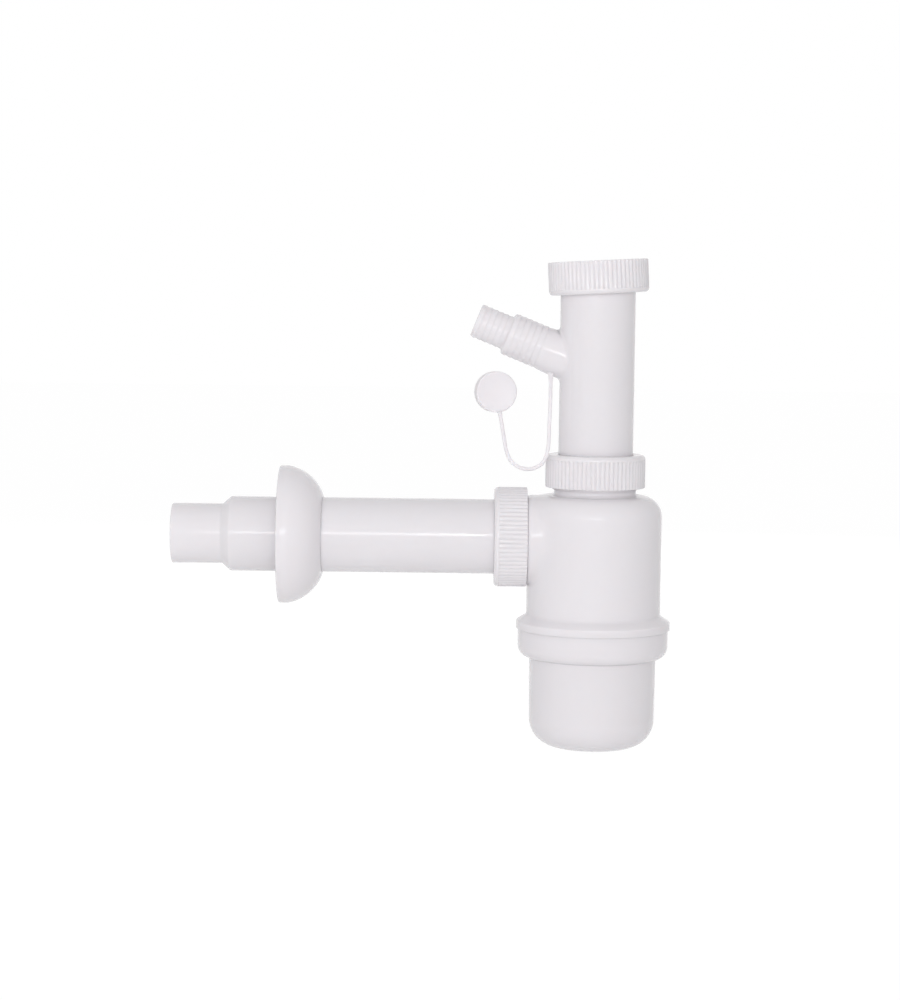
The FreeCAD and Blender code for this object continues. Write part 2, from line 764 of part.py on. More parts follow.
def check(parts):
    """Stops if any object failed to build or any piece isn't one valid solid."""
    failed = [item.Name for item in doc.Objects if {"Invalid", "Error"} & set(item.State)]
    if failed:
        raise RuntimeError(f"these objects failed: {failed}")
    for part in parts:
        if part.Shape.isNull() or not part.Shape.isValid() or len(part.Shape.Solids) != 1:
            raise RuntimeError(f"{part.Label} isn't one valid solid")


def write_steps(parts):
    """Writes each piece to a file of its own, named by its label."""
    os.makedirs("parts", exist_ok=True)
    for part in parts:
        part.Shape.exportStep(f"parts/{part.Label}.step")


fill_sheet()
pieces = make_parts()
doc.recompute()
check(pieces)
write_steps(pieces)
for piece in pieces:
    print(f"{piece.Label}: {piece.Shape.Volume / 1000:.2f} cm3")
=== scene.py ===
# %% [markdown]
# # A bottle trap for a wash basin
#
# The trap is moulded in glossy white polypropylene. A tail pipe with a barbed hose branch
# comes down from the basin, a ribbed nut seals it in the neck of a bottle, a cup screws on
# under the bottle, and a second pipe goes sideways through a domed rosette to the wall.
#
# The imported CAD model is the frame: it fixes every size and place. The first cell loads it
# and keeps its box, and the floor is later laid under its lowest point.

import json
import math

import bmesh
import bpy
from mathutils import Matrix, Vector


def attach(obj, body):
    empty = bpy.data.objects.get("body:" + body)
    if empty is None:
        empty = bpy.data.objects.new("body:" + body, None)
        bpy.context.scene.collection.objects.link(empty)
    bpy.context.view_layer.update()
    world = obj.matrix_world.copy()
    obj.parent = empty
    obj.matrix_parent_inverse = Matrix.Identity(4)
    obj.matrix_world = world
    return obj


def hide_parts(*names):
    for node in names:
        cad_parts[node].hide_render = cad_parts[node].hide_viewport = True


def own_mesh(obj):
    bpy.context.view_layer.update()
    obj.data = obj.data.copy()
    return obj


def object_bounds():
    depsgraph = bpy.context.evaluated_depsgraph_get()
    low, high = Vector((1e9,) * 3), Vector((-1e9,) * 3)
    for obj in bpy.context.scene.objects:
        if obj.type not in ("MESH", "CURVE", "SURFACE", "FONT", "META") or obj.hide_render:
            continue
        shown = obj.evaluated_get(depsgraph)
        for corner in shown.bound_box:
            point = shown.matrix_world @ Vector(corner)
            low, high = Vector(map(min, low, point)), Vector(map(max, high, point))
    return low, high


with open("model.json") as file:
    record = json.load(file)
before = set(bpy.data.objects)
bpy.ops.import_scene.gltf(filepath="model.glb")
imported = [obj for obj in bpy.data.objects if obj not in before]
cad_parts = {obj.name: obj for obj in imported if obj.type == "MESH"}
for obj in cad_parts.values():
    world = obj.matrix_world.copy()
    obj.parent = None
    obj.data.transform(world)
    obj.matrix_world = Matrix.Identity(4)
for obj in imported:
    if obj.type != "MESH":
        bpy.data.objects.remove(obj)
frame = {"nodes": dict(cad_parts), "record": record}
cad_low, cad_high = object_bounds()
print("CAD nodes:", ", ".join(sorted(frame["nodes"])))

# %% [markdown]
# ## The camera
#
# The photograph was taken from the front with a long lens, a little above the middle of the
# trap, so the rims of the lip and the collar show as shallow curves. A camera object could be
# aimed with a tracking constraint. Its height, tilt and roll are set as plain numbers here,
# because they were found by laying the render over the photograph.

# %% Place the camera
CAMERA_PLACE = Vector((-0.0777, -1.35, -0.015))
CAMERA_TILT = math.radians(-4.82)
CAMERA_ROLL = math.radians(0.7)
CAMERA_LENS = 90.9

camera = bpy.data.objects.new("camera", bpy.data.cameras.new("camera"))
bpy.context.scene.collection.objects.link(camera)
camera.data.lens = CAMERA_LENS
camera.location = CAMERA_PLACE
aim = Matrix.Rotation(math.pi / 2 + CAMERA_TILT, 4, "X") @ Matrix.Rotation(CAMERA_ROLL, 4, "Z")
camera.rotation_euler = aim.to_euler()
bpy.context.scene.camera = camera
print("camera at", tuple(round(value, 3) for value in CAMERA_PLACE))

# %% [markdown]
# ## Sizes of the pipes, threads and nuts
#
# Everything below is written in millimetres, as a drawing of the part would be, and turned
# into metres when a mesh is made. The sizes are those of the CAD model. Each one leads to the
# next: the pipe fits a sleeve, a socket stands round the sleeve, the thread rises from the
# socket, and the nut's bore clears the thread.

# %% Pipe, thread and nut sizes
MM = 0.001

PIPE_R, PIPE_WALL, PIPE_PLAY = 20.0, 1.8, 0.3
SLEEVE_R = PIPE_R + PIPE_PLAY
SOCKET_WALL, THREAD_RISE, THREAD_PLAY, NUT_WALL = 1.6, 1.65, 0.35, 2.8
SOCKET_R = SLEEVE_R + SOCKET_WALL
THREAD_R, THREAD_LENGTH = SOCKET_R + THREAD_RISE, 12.4
BORE_R = THREAD_R + THREAD_PLAY
NUT_R, NUT_HEIGHT, NUT_LIP, NUT_BAND, NUT_SHOULDER = BORE_R + NUT_WALL, 17.6, 2.5, 2.9, 2.2
PITCH, CUP_PITCH = 2.309, 4.0
print(f"pipe {2 * PIPE_R:.1f} mm, thread {2 * THREAD_R:.1f} mm, nut {2 * NUT_R:.1f} mm across")

# %% [markdown]
# ## Sizes of the bottle
#
# Heights count down from the open end of the waste nut, which is the origin. Neck, shoulder,
# wall, lip and skirt follow each other down the housing, and the cup hangs under the lip. Its
# seam with the lip is drawn nearly closed, as it looks when the cup is tight.

# %% Bottle and cup sizes
NUT_SPACING, NECK_IN_NUT, NECK_HEIGHT = 85.7, 6.0, 16.0
NECK_NUT_TOP = -NUT_HEIGHT - NUT_SPACING
NECK_NUT_END = NECK_NUT_TOP - NUT_HEIGHT
NECK_RIM = NECK_NUT_TOP - NECK_IN_NUT
BODY_TOP = NECK_RIM - NECK_HEIGHT

BODY_R, BODY_WALL, SHOULDER, WALL_HEIGHT = 36.0, 2.2, 11.0, 53.5
BODY_BORE_R = BODY_R - BODY_WALL
FLARE, LIP_THICK, LIP_RISE = 3.4, 4.0, 1.0
LIP_TOP = BODY_TOP - SHOULDER - WALL_HEIGHT - FLARE
SKIRT_RISE, SKIRT_HEIGHT = 0.8, 10.0
SKIRT_R, SKIRT_END = BODY_R + SKIRT_RISE, LIP_TOP - LIP_THICK - SKIRT_HEIGHT

CUP_PLAY, CUP_SEAM, CUP_WALL, CUP_HEIGHT = 0.35, 0.06, 2.2, 63.4
CUP_TOP = LIP_TOP - LIP_THICK - CUP_PLAY
CUP_RIM = LIP_TOP - LIP_THICK - CUP_SEAM
CUP_BORE_R = SKIRT_R + CUP_PLAY
COLLAR_WALL, COLLAR_BEAD, COLLAR_HEIGHT = 3.15, 6.3, 15.0
COLLAR_R, COLLAR_END = CUP_BORE_R + COLLAR_WALL, CUP_TOP - COLLAR_HEIGHT
LIP_R = COLLAR_R + LIP_RISE
CUP_R, CUP_BOTTOM = COLLAR_R - COLLAR_BEAD, CUP_TOP - CUP_HEIGHT

OUTLET_DROP, OUTLET_RIM, OUTLET_NUT_END = 1.0, 48.0, 36.4
OUTLET_Z = BODY_TOP - SOCKET_R - OUTLET_DROP
print(f"bottle {2 * BODY_R:.0f} mm across, from {BODY_TOP:.1f} down to {CUP_BOTTOM:.1f} mm")

# %% [markdown]
# ## Outlines with rounded corners
#
# Nearly every piece is round, so it starts as an outline of its wall, drawn as radius and
# height. Moulded plastic has no knife edges. A Bevel modifier could round the finished mesh,
# but it slips on fine ribs and threads, so the outline's corners are rounded first. Plain
# edges have one of five roundings, from crisp to blunt, and a rounding never takes more than
# its share of a short edge.

# %% Outline helper
CRISP, FINE, EASED, SOFT, BLUNT = 0.2, 0.3, 0.4, 0.5, 0.6
CHORD = 0.012
EDGE_SHARE = 0.97
TINY = 1e-6


def rounded(corners):
    """Turns (radius, height), with an optional rounding and number of steps, into points."""
    points = []
    for index, (radius, height, *more) in enumerate(corners):
        rounding, steps = more + [0, 1][len(more):]
        here, onward = Vector((radius, height)), Vector(corners[(index + 1) % len(corners)][:2])
        back, ahead = Vector(corners[index - 1][:2]) - here, onward - here
        if rounding:
            half = back.angle(ahead) / 2
            reach = min(rounding / math.tan(half), EDGE_SHARE * back.length, EDGE_SHARE * ahead.length)
            rounding = reach * math.tan(half)
            start, end = here + back.normalized() * reach, here + ahead.normalized() * reach
            middle = (back.normalized() + ahead.normalized()).normalized()
            centre = here + middle * (rounding / math.sin(half))
            spoke = start - centre
            turn = spoke.angle_signed(end - centre)
            parts = max(2, math.ceil(abs(turn) / (2 * math.acos(1 - CHORD / rounding))))
            for part in range(parts + 1):
                points.append(centre + Matrix.Rotation(-turn * part / parts, 2) @ spoke)
        else:
            points.append(here)
        last = points[-1]
        points += [last.lerp(onward, step / steps) for step in range(1, steps)]
    return points


print(f"rounded corners stay within {CHORD} mm of a true arc")

# %% [markdown]
# ## From rings of points to a mesh
#
# A turned wall, a flared tube and a swept strap have one thing in common: their surface runs
# from one ring of points to the next. Blender's Bridge Edge Loops joins such rings by hand.
# One function does it here for all of them, so each piece only has to say where its rings lie.

# %% Mesh helpers


def bridge(rings):
    """Faces between each ring and the next. A ring of one point closes an end."""
    faces = []
    for low, high in zip(rings, rings[1:]):
        count = max(len(low), len(high))
        for step in range(count if count > 1 else 0):
            after = (step + 1) % count
            corners = [low[step % len(low)], low[after % len(low)],
                       high[after % len(high)], high[step % len(high)]]
            faces.append(tuple(dict.fromkeys(corners)))
    return faces


def solid(name, layers, closed=False):
    """A mesh object through layers of points in millimetres, its faces turned outwards."""
    points, rings = [], []
    for layer in layers:
        rings.append(range(len(points), len(points) + len(layer)))
        points += layer
    if closed:
        rings.append(rings[0])
    mesh = bpy.data.meshes.new(name)
    mesh.from_pydata([tuple(point * MM) for point in points], [], bridge(rings))
    skin = bmesh.new()
    skin.from_mesh(mesh)
    bmesh.ops.recalc_face_normals(skin, faces=skin.faces)
    skin.to_mesh(mesh)
    skin.free()
    piece = bpy.data.objects.new(name, mesh)
    bpy.context.scene.collection.objects.link(piece)
    return piece


print(f"points are in millimetres, meshes in metres, at {MM} to 1")

# %% [markdown]
# ## Turned shapes
#
# An outline that goes once round an axis gives the whole piece. Blender's Screw modifier does
# this too. The function here makes the rings itself, because a ring can then be carved as it
# is made, and that is how the nuts get their ribs and threads.

# %% Lathe helper
SEGMENTS = 192


def lathe(name, outline, place, segments=SEGMENTS, carve=None):
    """Turns an outline about the place's own Z axis, with an optional carving."""
    layers = []
    for radius, height in outline:
        layer = []
        for step in range(segments if radius > TINY else 1):
            angle = 2 * math.pi * step / segments
            reach = carve(radius, height, angle) if carve else radius
            layer.append(place @ Vector((reach * math.cos(angle), reach * math.sin(angle), height)))
        layers.append(layer)
    return solid(name, layers, closed=True)


def at(x=0.0, z=0.0):
    """A place beside or below the origin, in the plane of the two pipes."""
    return Matrix.Translation((x, 0, z))


UPRIGHT = Matrix.Identity(4)
UPSIDE_DOWN = Matrix.Rotation(math.pi, 4, "X")
SIDEWAYS = Matrix.Rotation(-math.pi / 2, 4, "Y")
print(f"turned walls have {SEGMENTS} sides")

# %% [markdown]
# ## Finishes
#
# White polypropylene is glossy but never quite even: the melt leaves faint waves that bend a
# highlight, and handling leaves patches that are a little duller. An even white would look
# like paper. So each finish mixes two close tones by a slow noise, lets a second noise vary
# the roughness, and bends the surface very slightly with a third. Light goes a short way into
# the plastic, which softens the shade inside the ribs.

# %% Finish helper
REFRACTION, MIRROR_LEVEL = 1.49, 0.35
BLEED_TINT, BLEED_REACH = (1.0, 0.9, 0.85), 0.0025
MOTTLE_NOISE, MOTTLE_STOPS = (16.0, 1.5), (0.25, 0.75)
PATCH_NOISE, PATCH_RANGE = (40.0, 2.0), (0.2, 0.8)
WAVE_DETAIL, GRAIN_DETAIL = 1.0, 2.0


def finish(name, tones, gloss, waves, grain, depth=0.0):
    """A moulded finish: two tones, a range of roughness, slow waves and a fine grain."""
    material = bpy.data.materials.new(name)
    material.use_nodes = True
    nodes, links = material.node_tree.nodes, material.node_tree.links
    shader = nodes["Principled BSDF"]
    shader.inputs["IOR"].default_value = REFRACTION
    shader.inputs["Specular IOR Level"].default_value = MIRROR_LEVEL
    if depth:
        shader.inputs["Subsurface Weight"].default_value = depth
        shader.inputs["Subsurface Radius"].default_value = BLEED_TINT
        shader.inputs["Subsurface Scale"].default_value = BLEED_REACH
    place = nodes.new("ShaderNodeTexCoord")

    def noise(scale, detail):
        texture = nodes.new("ShaderNodeTexNoise")
        texture.inputs["Scale"].default_value = scale
        texture.inputs["Detail"].default_value = detail
        links.new(place.outputs["Object"], texture.inputs["Vector"])
        return texture.outputs["Fac"]

    mottle = nodes.new("ShaderNodeValToRGB")
    mottle.color_ramp.interpolation = "EASE"
    for stop, position, tone in zip(mottle.color_ramp.elements, MOTTLE_STOPS, tones):
        stop.position, stop.color = position, (*tone, 1)
    links.new(noise(*MOTTLE_NOISE), mottle.inputs["Fac"])
    links.new(mottle.outputs["Color"], shader.inputs["Base Color"])

    patches = nodes.new("ShaderNodeMapRange")
    patches.interpolation_type = "SMOOTHSTEP"
    patches.inputs["From Min"].default_value, patches.inputs["From Max"].default_value = PATCH_RANGE
    patches.inputs["To Min"].default_value, patches.inputs["To Max"].default_value = gloss
    links.new(noise(*PATCH_NOISE), patches.inputs["Value"])
    links.new(patches.outputs["Result"], shader.inputs["Roughness"])

    bend = None
    for (scale, height), detail in zip((waves, grain), (WAVE_DETAIL, GRAIN_DETAIL)):
        bump = nodes.new("ShaderNodeBump")
        bump.inputs["Strength"].default_value = 1.0
        bump.inputs["Distance"].default_value = height
        links.new(noise(scale, detail), bump.inputs["Height"])
        if bend:
            links.new(bend.outputs["Normal"], bump.inputs["Normal"])
        bend = bump
    links.new(bend.outputs["Normal"], shader.inputs["Normal"])
    print("finish:", name)
    return material


print(f"every finish refracts at {REFRACTION}")

# %% [markdown]
# ### White plastic, soft plastic and rubber
#
# Pipes, nuts, housing, cup and rosette are hard and glossy. The cap with its strap and the
# slip rings are a softer plastic, which is duller. Washer and seals are black rubber with a
# fine grain. Each finish could have a node tree of its own, but they differ only in numbers.

# %% Make the three finishes
white_plastic = finish(
    "white_moulded_plastic",
    tones=((0.794, 0.771, 0.794), (0.802, 0.779, 0.802)),
    gloss=(0.12, 0.21), waves=(70.0, 0.00005), grain=(1500.0, 0.0000015), depth=0.5,
)
soft_plastic = finish(
    "soft_moulded_plastic",
    tones=((0.795, 0.769, 0.795), (0.806, 0.781, 0.806)),
    gloss=(0.30, 0.42), waves=(90.0, 0.00008), grain=(1200.0, 0.000002), depth=0.5,
)
black_rubber = finish(
    "black_rubber",
    tones=((0.018, 0.018, 0.020), (0.030, 0.030, 0.032)),
    gloss=(0.5, 0.68), waves=(90.0, 0.00005), grain=(2500.0, 0.000012),
)

# %% [markdown]
# ## Dressing a piece
#
# A mesh becomes part of the moving trap in one step. It gets its finish, and smooth shading
# with the real edges kept sharp. Then it is parented to an empty made for the body that its
# CAD node belongs to, and stands for that node, which is hidden.

# %% Dress helper
SHARP_ANGLE = math.radians(38)
bodies = frame["record"]["behaviour"]["bodies"]


def dress(piece, nodes, material):
    """Gives a piece its finish, shades it smooth, and lets it stand for its CAD nodes."""
    piece.data.materials.clear()
    piece.data.materials.append(material)
    piece.data.shade_smooth()
    piece.data.set_sharp_from_angle(angle=SHARP_ANGLE)
    nodes = [nodes] if isinstance(nodes, str) else nodes
    body = next(name for name, members in bodies.items() if nodes[0] in members)
    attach(piece, body)
    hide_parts(*nodes)
    print(f"{piece.name}: {len(piece.data.polygons)} faces, rides on {body}")


print("bodies:", ", ".join(sorted(bodies)))

# %% [markdown]
# ## Threads and ribs
#
# A thread is a ridge that climbs one pitch each turn. The same wave carves the ridge outside a
# socket and the groove inside its nut, so the two fit as the real ones do, and they still fit
# when the nut is half unscrewed. The grip ribs are shallow grooves along the nut, all round.

# %% Thread and rib shapes
THREAD_DEPTH, NUT_THREAD_DEPTH, CUP_THREAD_DEPTH = 1.2, 0.9, 1.1
ON_THREAD = 0.02
RIM_GAP, RIM_FADE = 0.6, 0.9
RIBS, RIB_DEPTH, RIB_SAMPLES = 66, 0.65, 6
GROOVE_SHARE = 0.33


def ramp(value, start, end):
    """From 0 at start to 1 at end, smoothly."""
    share = min(1.0, max(0.0, (value - start) / (end - start)))
    return share * share * (3 - 2 * share)


def ridge(height, angle, pitch):
    """1 on the crest of a right-handed thread, 0 in its root."""
    wave = math.cos(2 * math.pi * height / pitch - angle)
    return 0.5 + 0.25 * wave * (3 - wave * wave)


def socket_fade(height, start, rise, rim):
    """1 along a socket's thread, 0 before its start and at the rim."""
    end = rim - RIM_GAP
    return ramp(height, start, start + rise) * ramp(height, end, end - RIM_FADE)


def groove(angle):
    """1 in the middle of a grip groove, 0 on the rib beside it."""
    turn = angle * RIBS / (2 * math.pi)
    return ramp(GROOVE_SHARE - abs(turn - round(turn)), 0, GROOVE_SHARE)


print(f"threads climb {PITCH} mm and {CUP_PITCH} mm a turn, each nut has {RIBS} ribs")

# %% [markdown]
# ## The three union nuts
#
# One mould makes all three nuts: a ribbed skirt that opens on its thread, a plain band, a
# rounded shoulder, and a thin lip that reaches in to the pipe. A knurled pattern in a bump
# texture would keep a smooth outline, and the ribs show in the outline, so they are real
# grooves in the rings. The nut at the top hangs loose on its pipe and leans a little.

# %% Make the union nuts
RING_SPACE, NUT_RELIEF = 4.5, 0.5
NUT_THREAD_END = NUT_HEIGHT - NUT_LIP - RING_SPACE
NUT_THREAD_STEPS, NUT_THREAD_START = 40, 0.5
NUT_THREAD_FADE = (0.2, 1.2)
RIB_END = NUT_HEIGHT - NUT_BAND
RIB_ZONE, RIB_FADE, RIB_END_RINGS = 0.7, (-0.5, 0.1), (-0.2, 0.15, 0.5)
WASTE_NUT_LEAN, WASTE_NUT_LIP, WASTE_NUT_PLAY = math.radians(3.2), 1.2, 0.8


def union_nut(name, node, place, thread_start, lip=NUT_LIP, play=PIPE_PLAY):
    """A nut whose open end is at the place. thread_start sets where its ridge begins."""
    def carve(radius, height, angle):
        if radius > NUT_R - RIB_ZONE:
            fade = ramp(radius, NUT_R - RIB_ZONE, NUT_R) * ramp(RIB_END - height, *RIB_FADE)
            return radius - RIB_DEPTH * fade * groove(angle)
        if abs(radius - BORE_R) < ON_THREAD:
            fade = ramp(height, *NUT_THREAD_FADE) * ramp(NUT_THREAD_END - height, *NUT_THREAD_FADE)
            return radius - NUT_THREAD_DEPTH * fade * (1 - ridge(height + thread_start, angle, PITCH))
        return radius

    outline = rounded([
        (BORE_R, 0, FINE),
        (NUT_R, 0, BLUNT),
        *[(NUT_R, RIB_END + rise) for rise in RIB_END_RINGS],
        (NUT_R, NUT_HEIGHT, NUT_SHOULDER),
        (PIPE_R + play, NUT_HEIGHT, SOFT),
        (PIPE_R + play, NUT_HEIGHT - lip, FINE),
        (BORE_R + NUT_RELIEF, NUT_HEIGHT - lip, FINE),
        (BORE_R + NUT_RELIEF, NUT_THREAD_END),
        (BORE_R, NUT_THREAD_END - NUT_RELIEF, 0, NUT_THREAD_STEPS),
        (BORE_R, NUT_THREAD_START),
    ])
    nut = lathe(name, outline, place, RIBS * RIB_SAMPLES, carve)
    dress(nut, node, white_plastic)


pivot = at(z=-NUT_HEIGHT / 2)
lean = pivot @ Matrix.Rotation(-WASTE_NUT_LEAN, 4, "Y") @ pivot.inverted()
union_nut("union_nut_waste", "waste_nut", lean @ UPSIDE_DOWN, 0.0, WASTE_NUT_LIP, WASTE_NUT_PLAY)
union_nut("union_nut_neck", "neck_nut", at(z=NECK_NUT_END), NECK_NUT_END - BODY_TOP)
union_nut("union_nut_outlet", "outlet_nut", at(-OUTLET_NUT_END, OUTLET_Z) @ SIDEWAYS, OUTLET_NUT_END)

# %% [markdown]
# ## Rings that seal
#
# A black rubber ring with a cone below it is squeezed into each socket, and a thin plastic
# ring lets the nut turn on it without dragging it round. They are hidden until a nut is
# unscrewed, but then their soft, rounded edges show, so they are turned like the rest. They
# are slim enough for the nuts' threads to pass over them.

# %% Make the washer, seals and slip rings
FLANGE_TOP = -13.0
RING_PLAY, SEAL_PLAY, RUBBER_EDGE = 0.1, 0.06, 0.35
SEAL_R, SEAL_BORE_R = BORE_R - NUT_THREAD_DEPTH - RING_PLAY, PIPE_R + SEAL_PLAY
WASHER_BORE_R, WASHER_THICK, SLIP_THICK, SEAL_THICK = 18.5, 2.2, 1.2, 2.0
CONE_R, CONE_TIP_R, CONE_DEPTH = 22.0, 20.67, 3.5
SEAL_LIFT, SLIP_LIFT, CUP_SEAL_DROP = 0.1, 2.2, 2.3


def flat_ring(bore, radius, thick, edge):
    """The corners of a flat ring that lies on height 0."""
    return [(bore, 0, edge), (radius, 0, edge), (radius, thick, edge), (bore, thick, edge)]


def ring(name, node, place, corners, material):
    """Turns a ring's corners and dresses the piece."""
    dress(lathe(name, rounded(corners), place), node, material)


washer = flat_ring(WASHER_BORE_R, SEAL_R, WASHER_THICK, RUBBER_EDGE)
slip = flat_ring(SLEEVE_R, SEAL_R, SLIP_THICK, CRISP)
cup_ring = flat_ring(CUP_R - CUP_WALL + CUP_PLAY, SKIRT_R, WASHER_THICK, RUBBER_EDGE)
seal = [
    (SEAL_BORE_R, -CONE_DEPTH, CRISP), (CONE_TIP_R, -CONE_DEPTH, FINE), (CONE_R, 0, CRISP),
    (SEAL_R, 0, FINE), (SEAL_R, SEAL_THICK, EASED), (SEAL_BORE_R, SEAL_THICK, FINE),
]
outlet_seal_place = at(-OUTLET_RIM - SEAL_LIFT, OUTLET_Z) @ SIDEWAYS
outlet_slip_place = at(-OUTLET_RIM - SLIP_LIFT, OUTLET_Z) @ SIDEWAYS
ring("washer_waste", "waste_washer", at(z=FLANGE_TOP), washer, black_rubber)
ring("seal_neck", "neck_seal", at(z=NECK_RIM + SEAL_LIFT), seal, black_rubber)
ring("seal_cup", "cup_seal", at(z=SKIRT_END - CUP_SEAL_DROP), cup_ring, black_rubber)
ring("slip_ring_neck", "neck_slip_ring", at(z=NECK_RIM + SLIP_LIFT), slip, soft_plastic)
ring("seal_outlet", "outlet_seal", outlet_seal_place, seal, black_rubber)
ring("slip_ring_outlet", "outlet_slip_ring", outlet_slip_place, slip, soft_plastic)

# %% [markdown]
# ## Joining and cutting
#
# A moulding with branches is easiest to make from simple solids that are joined, with its
# bores cut out of it afterwards. A Boolean modifier does both. It is applied at once, so that
# the next step finds a plain mesh, and the tool is taken away.

# %% Boolean helper


def combine(base, tool, operation):
    """Joins the tool to the base, or cuts it out, and leaves the base as a plain mesh."""
    cut = base.modifiers.new("cut", "BOOLEAN")
    cut.operation, cut.object, cut.solver = operation, tool, "MANIFOLD"
    view = bpy.context.evaluated_depsgraph_get()
    mesh = bpy.data.meshes.new_from_object(base.evaluated_get(view))
    base.modifiers.clear()
    base.data = mesh
    print(f"{operation.lower()} of {base.name} and {tool.name}: {len(mesh.polygons)} faces")
    bpy.data.objects.remove(tool)
    return base

# %% [markdown]
# ## Growing one tube out of another
#
# Two walls that meet in a mould have a small round between them. A Boolean gives a hard edge
# there, and a bevel on that edge is unreliable. So the tube that grows out starts with a
# flared foot: at each angle round it, a smooth curve leaves the wall of the larger tube and
# ends along the smaller one. Only then are the two joined with a Boolean, which cuts through
# the foot just where it dips under the wall.

# %% Flared foot helpers
HALVINGS, SLOPE_STEP = 40, 0.1
FOOT_STEPS, FOOT_PULL = 10, 1.5
ROOT_INSET, SINK_INSET, SINK = 0.5, 0.2, 0.8
DIP, DIP_WIDTH, LIFT = 0.03, 0.1, 0.015


def meet(inside, start, way, side, radius, far):
    """How far along the way the line at this radius comes out of the larger tube."""
    near = 0.0
    for _ in range(HALVINGS):
        half = (near + far) / 2
        if inside(start + way * half + side * radius):
            near = half
        else:
            far = half
    return near


def between(start, start_pull, end, end_pull, t):
    """The point at share t of a smooth curve that leaves and arrives along its pulls."""
    return (start * (2 * t**3 - 3 * t**2 + 1) + start_pull * (t**3 - 2 * t**2 + t)
            + end * (3 * t**2 - 2 * t**3) + end_pull * (t**3 - t**2))


def sprout(name, inside, start, way, up, near, far, profile):
    """A closed tube with a flared foot, from near to far along its way. At each angle, the
    profile gives the tube's radius, how far its foot spreads and climbs, and what follows."""
    across = way.cross(up)
    columns = []
    for step in range(SEGMENTS):
        angle = 2 * math.pi * step / SEGMENTS
        side = up * math.cos(angle) + across * math.sin(angle)

        def leave(reach):
            return meet(inside, start, way, side, reach, far)

        radius, spread, climb, beyond = profile(angle, leave)
        edge = radius + spread
        slope = (leave(edge + SLOPE_STEP) - leave(edge - SLOPE_STEP)) / (2 * SLOPE_STEP)
        outer = Vector((edge, leave(edge) + LIFT))
        inner = Vector((radius, leave(radius) + climb))
        pull = FOOT_PULL * (outer - inner).length / math.sqrt(2)
        outer_pull, inner_pull = -Vector((1, slope)).normalized() * pull, Vector((0, 1)) * pull
        curve = [
            Vector((radius - ROOT_INSET, near)),
            Vector((edge - SINK_INSET, outer.y - SINK)),
            Vector((edge + DIP_WIDTH, leave(edge + DIP_WIDTH) - DIP)),
        ]
        curve += [between(outer, outer_pull, inner, inner_pull, part / FOOT_STEPS)
                  for part in range(FOOT_STEPS + 1)]
        columns.append([start + way * spot.y + side * spot.x for spot in curve + beyond])
    return solid(name, [[start + way * near], *zip(*columns), [start + way * far]])


print(f"a flared foot is a curve of {FOOT_STEPS} steps at {SEGMENTS} angles")

# %% [markdown]
# ## The tail pipe and its hose branch
#
# The pipe ends in a flange at the top. Its branch rises to the left in two barbed steps, wide
# and slim, for two sizes of hose. A barb is a short cone: it lets the hose slide on towards
# the pipe and bites when it is pulled back. The barbs are part of the branch's outline.

# %% Turn the tail pipe
FLANGE_RISE, FLANGE_THICK, TAIL_END = 3.3, 2.0, -155.0
FLANGE_R = PIPE_R + FLANGE_RISE

tail = lathe("tail_pipe_with_branch", rounded([
    (PIPE_R - PIPE_WALL, FLANGE_TOP, EASED),
    (FLANGE_R, FLANGE_TOP, EASED),
    (FLANGE_R, FLANGE_TOP - FLANGE_THICK, FINE),
    (PIPE_R, FLANGE_TOP - FLANGE_THICK, FINE),
    (PIPE_R, TAIL_END, BLUNT),
    (PIPE_R - PIPE_WALL, TAIL_END, SOFT),
]), UPRIGHT)
print(f"tail pipe from {FLANGE_TOP} down to {TAIL_END} mm")

# %% [markdown]
# ### The branch
#
# The branch grows out of the pipe with a foot of less than 2 mm, as thin mouldings have. Its
# taper and its barbs are drawn as one outline that follows the foot.

# %% Grow the hose branch
BRANCH_Z, BRANCH_RISE, BRANCH_LENGTH = -58.5, math.radians(22), 69.8
BRANCH_R, BRANCH_FOOT, BRANCH_ROOT, TAPER_START = 12.0, 1.8, 8.0, 26.0
WIDE_R, WIDE_START, WIDE_LENGTH, WIDE_BARBS = 11.7, 29.2, 22.0, 7
SLIM_R, SLIM_START, SLIM_LENGTH, SLIM_BARBS = 9.3, 51.2, 18.6, 6
BARB_DEPTH, BARB_BACK = 0.45, 0.8

branch_way = Vector((-math.cos(BRANCH_RISE), 0, math.sin(BRANCH_RISE)))
branch_up = Vector((math.sin(BRANCH_RISE), 0, math.cos(BRANCH_RISE)))
branch_start = Vector((0, 0, BRANCH_Z))


def in_tail_pipe(spot):
    """Whether a point is inside the tail pipe's outer shape."""
    return math.hypot(spot.x, spot.y) < PIPE_R


def barb_run(start, length, radius, count):
    """Corners of a run of barbs, each wide on the pipe's side."""
    corners = []
    for barb in range(count):
        low, high = start + barb * length / count, start + (barb + 1) * length / count
        corners += [(radius, low + BARB_BACK, FINE), (radius - BARB_DEPTH, high, SOFT)]
    return corners


barbs = rounded([
    (BRANCH_R, TAPER_START),
    *barb_run(WIDE_START, WIDE_LENGTH, WIDE_R, WIDE_BARBS),
    *barb_run(SLIM_START, SLIM_LENGTH, SLIM_R, SLIM_BARBS),
    (0, BRANCH_LENGTH),
])[:-1]
branch = sprout("branch", in_tail_pipe, branch_start, branch_way, branch_up, BRANCH_ROOT, BRANCH_LENGTH,
                lambda angle, leave: (BRANCH_R, BRANCH_FOOT, BRANCH_FOOT, barbs))
print(f"branch grown: {len(branch.data.polygons)} faces")

# %% [markdown]
# ### One moulding, two bores
#
# The branch's root fills a part of the pipe's bore, so that part is cut away before the two
# are joined. The branch's own bore is cut last, through both. It narrows where the branch
# does, and widens a little at the mouth.

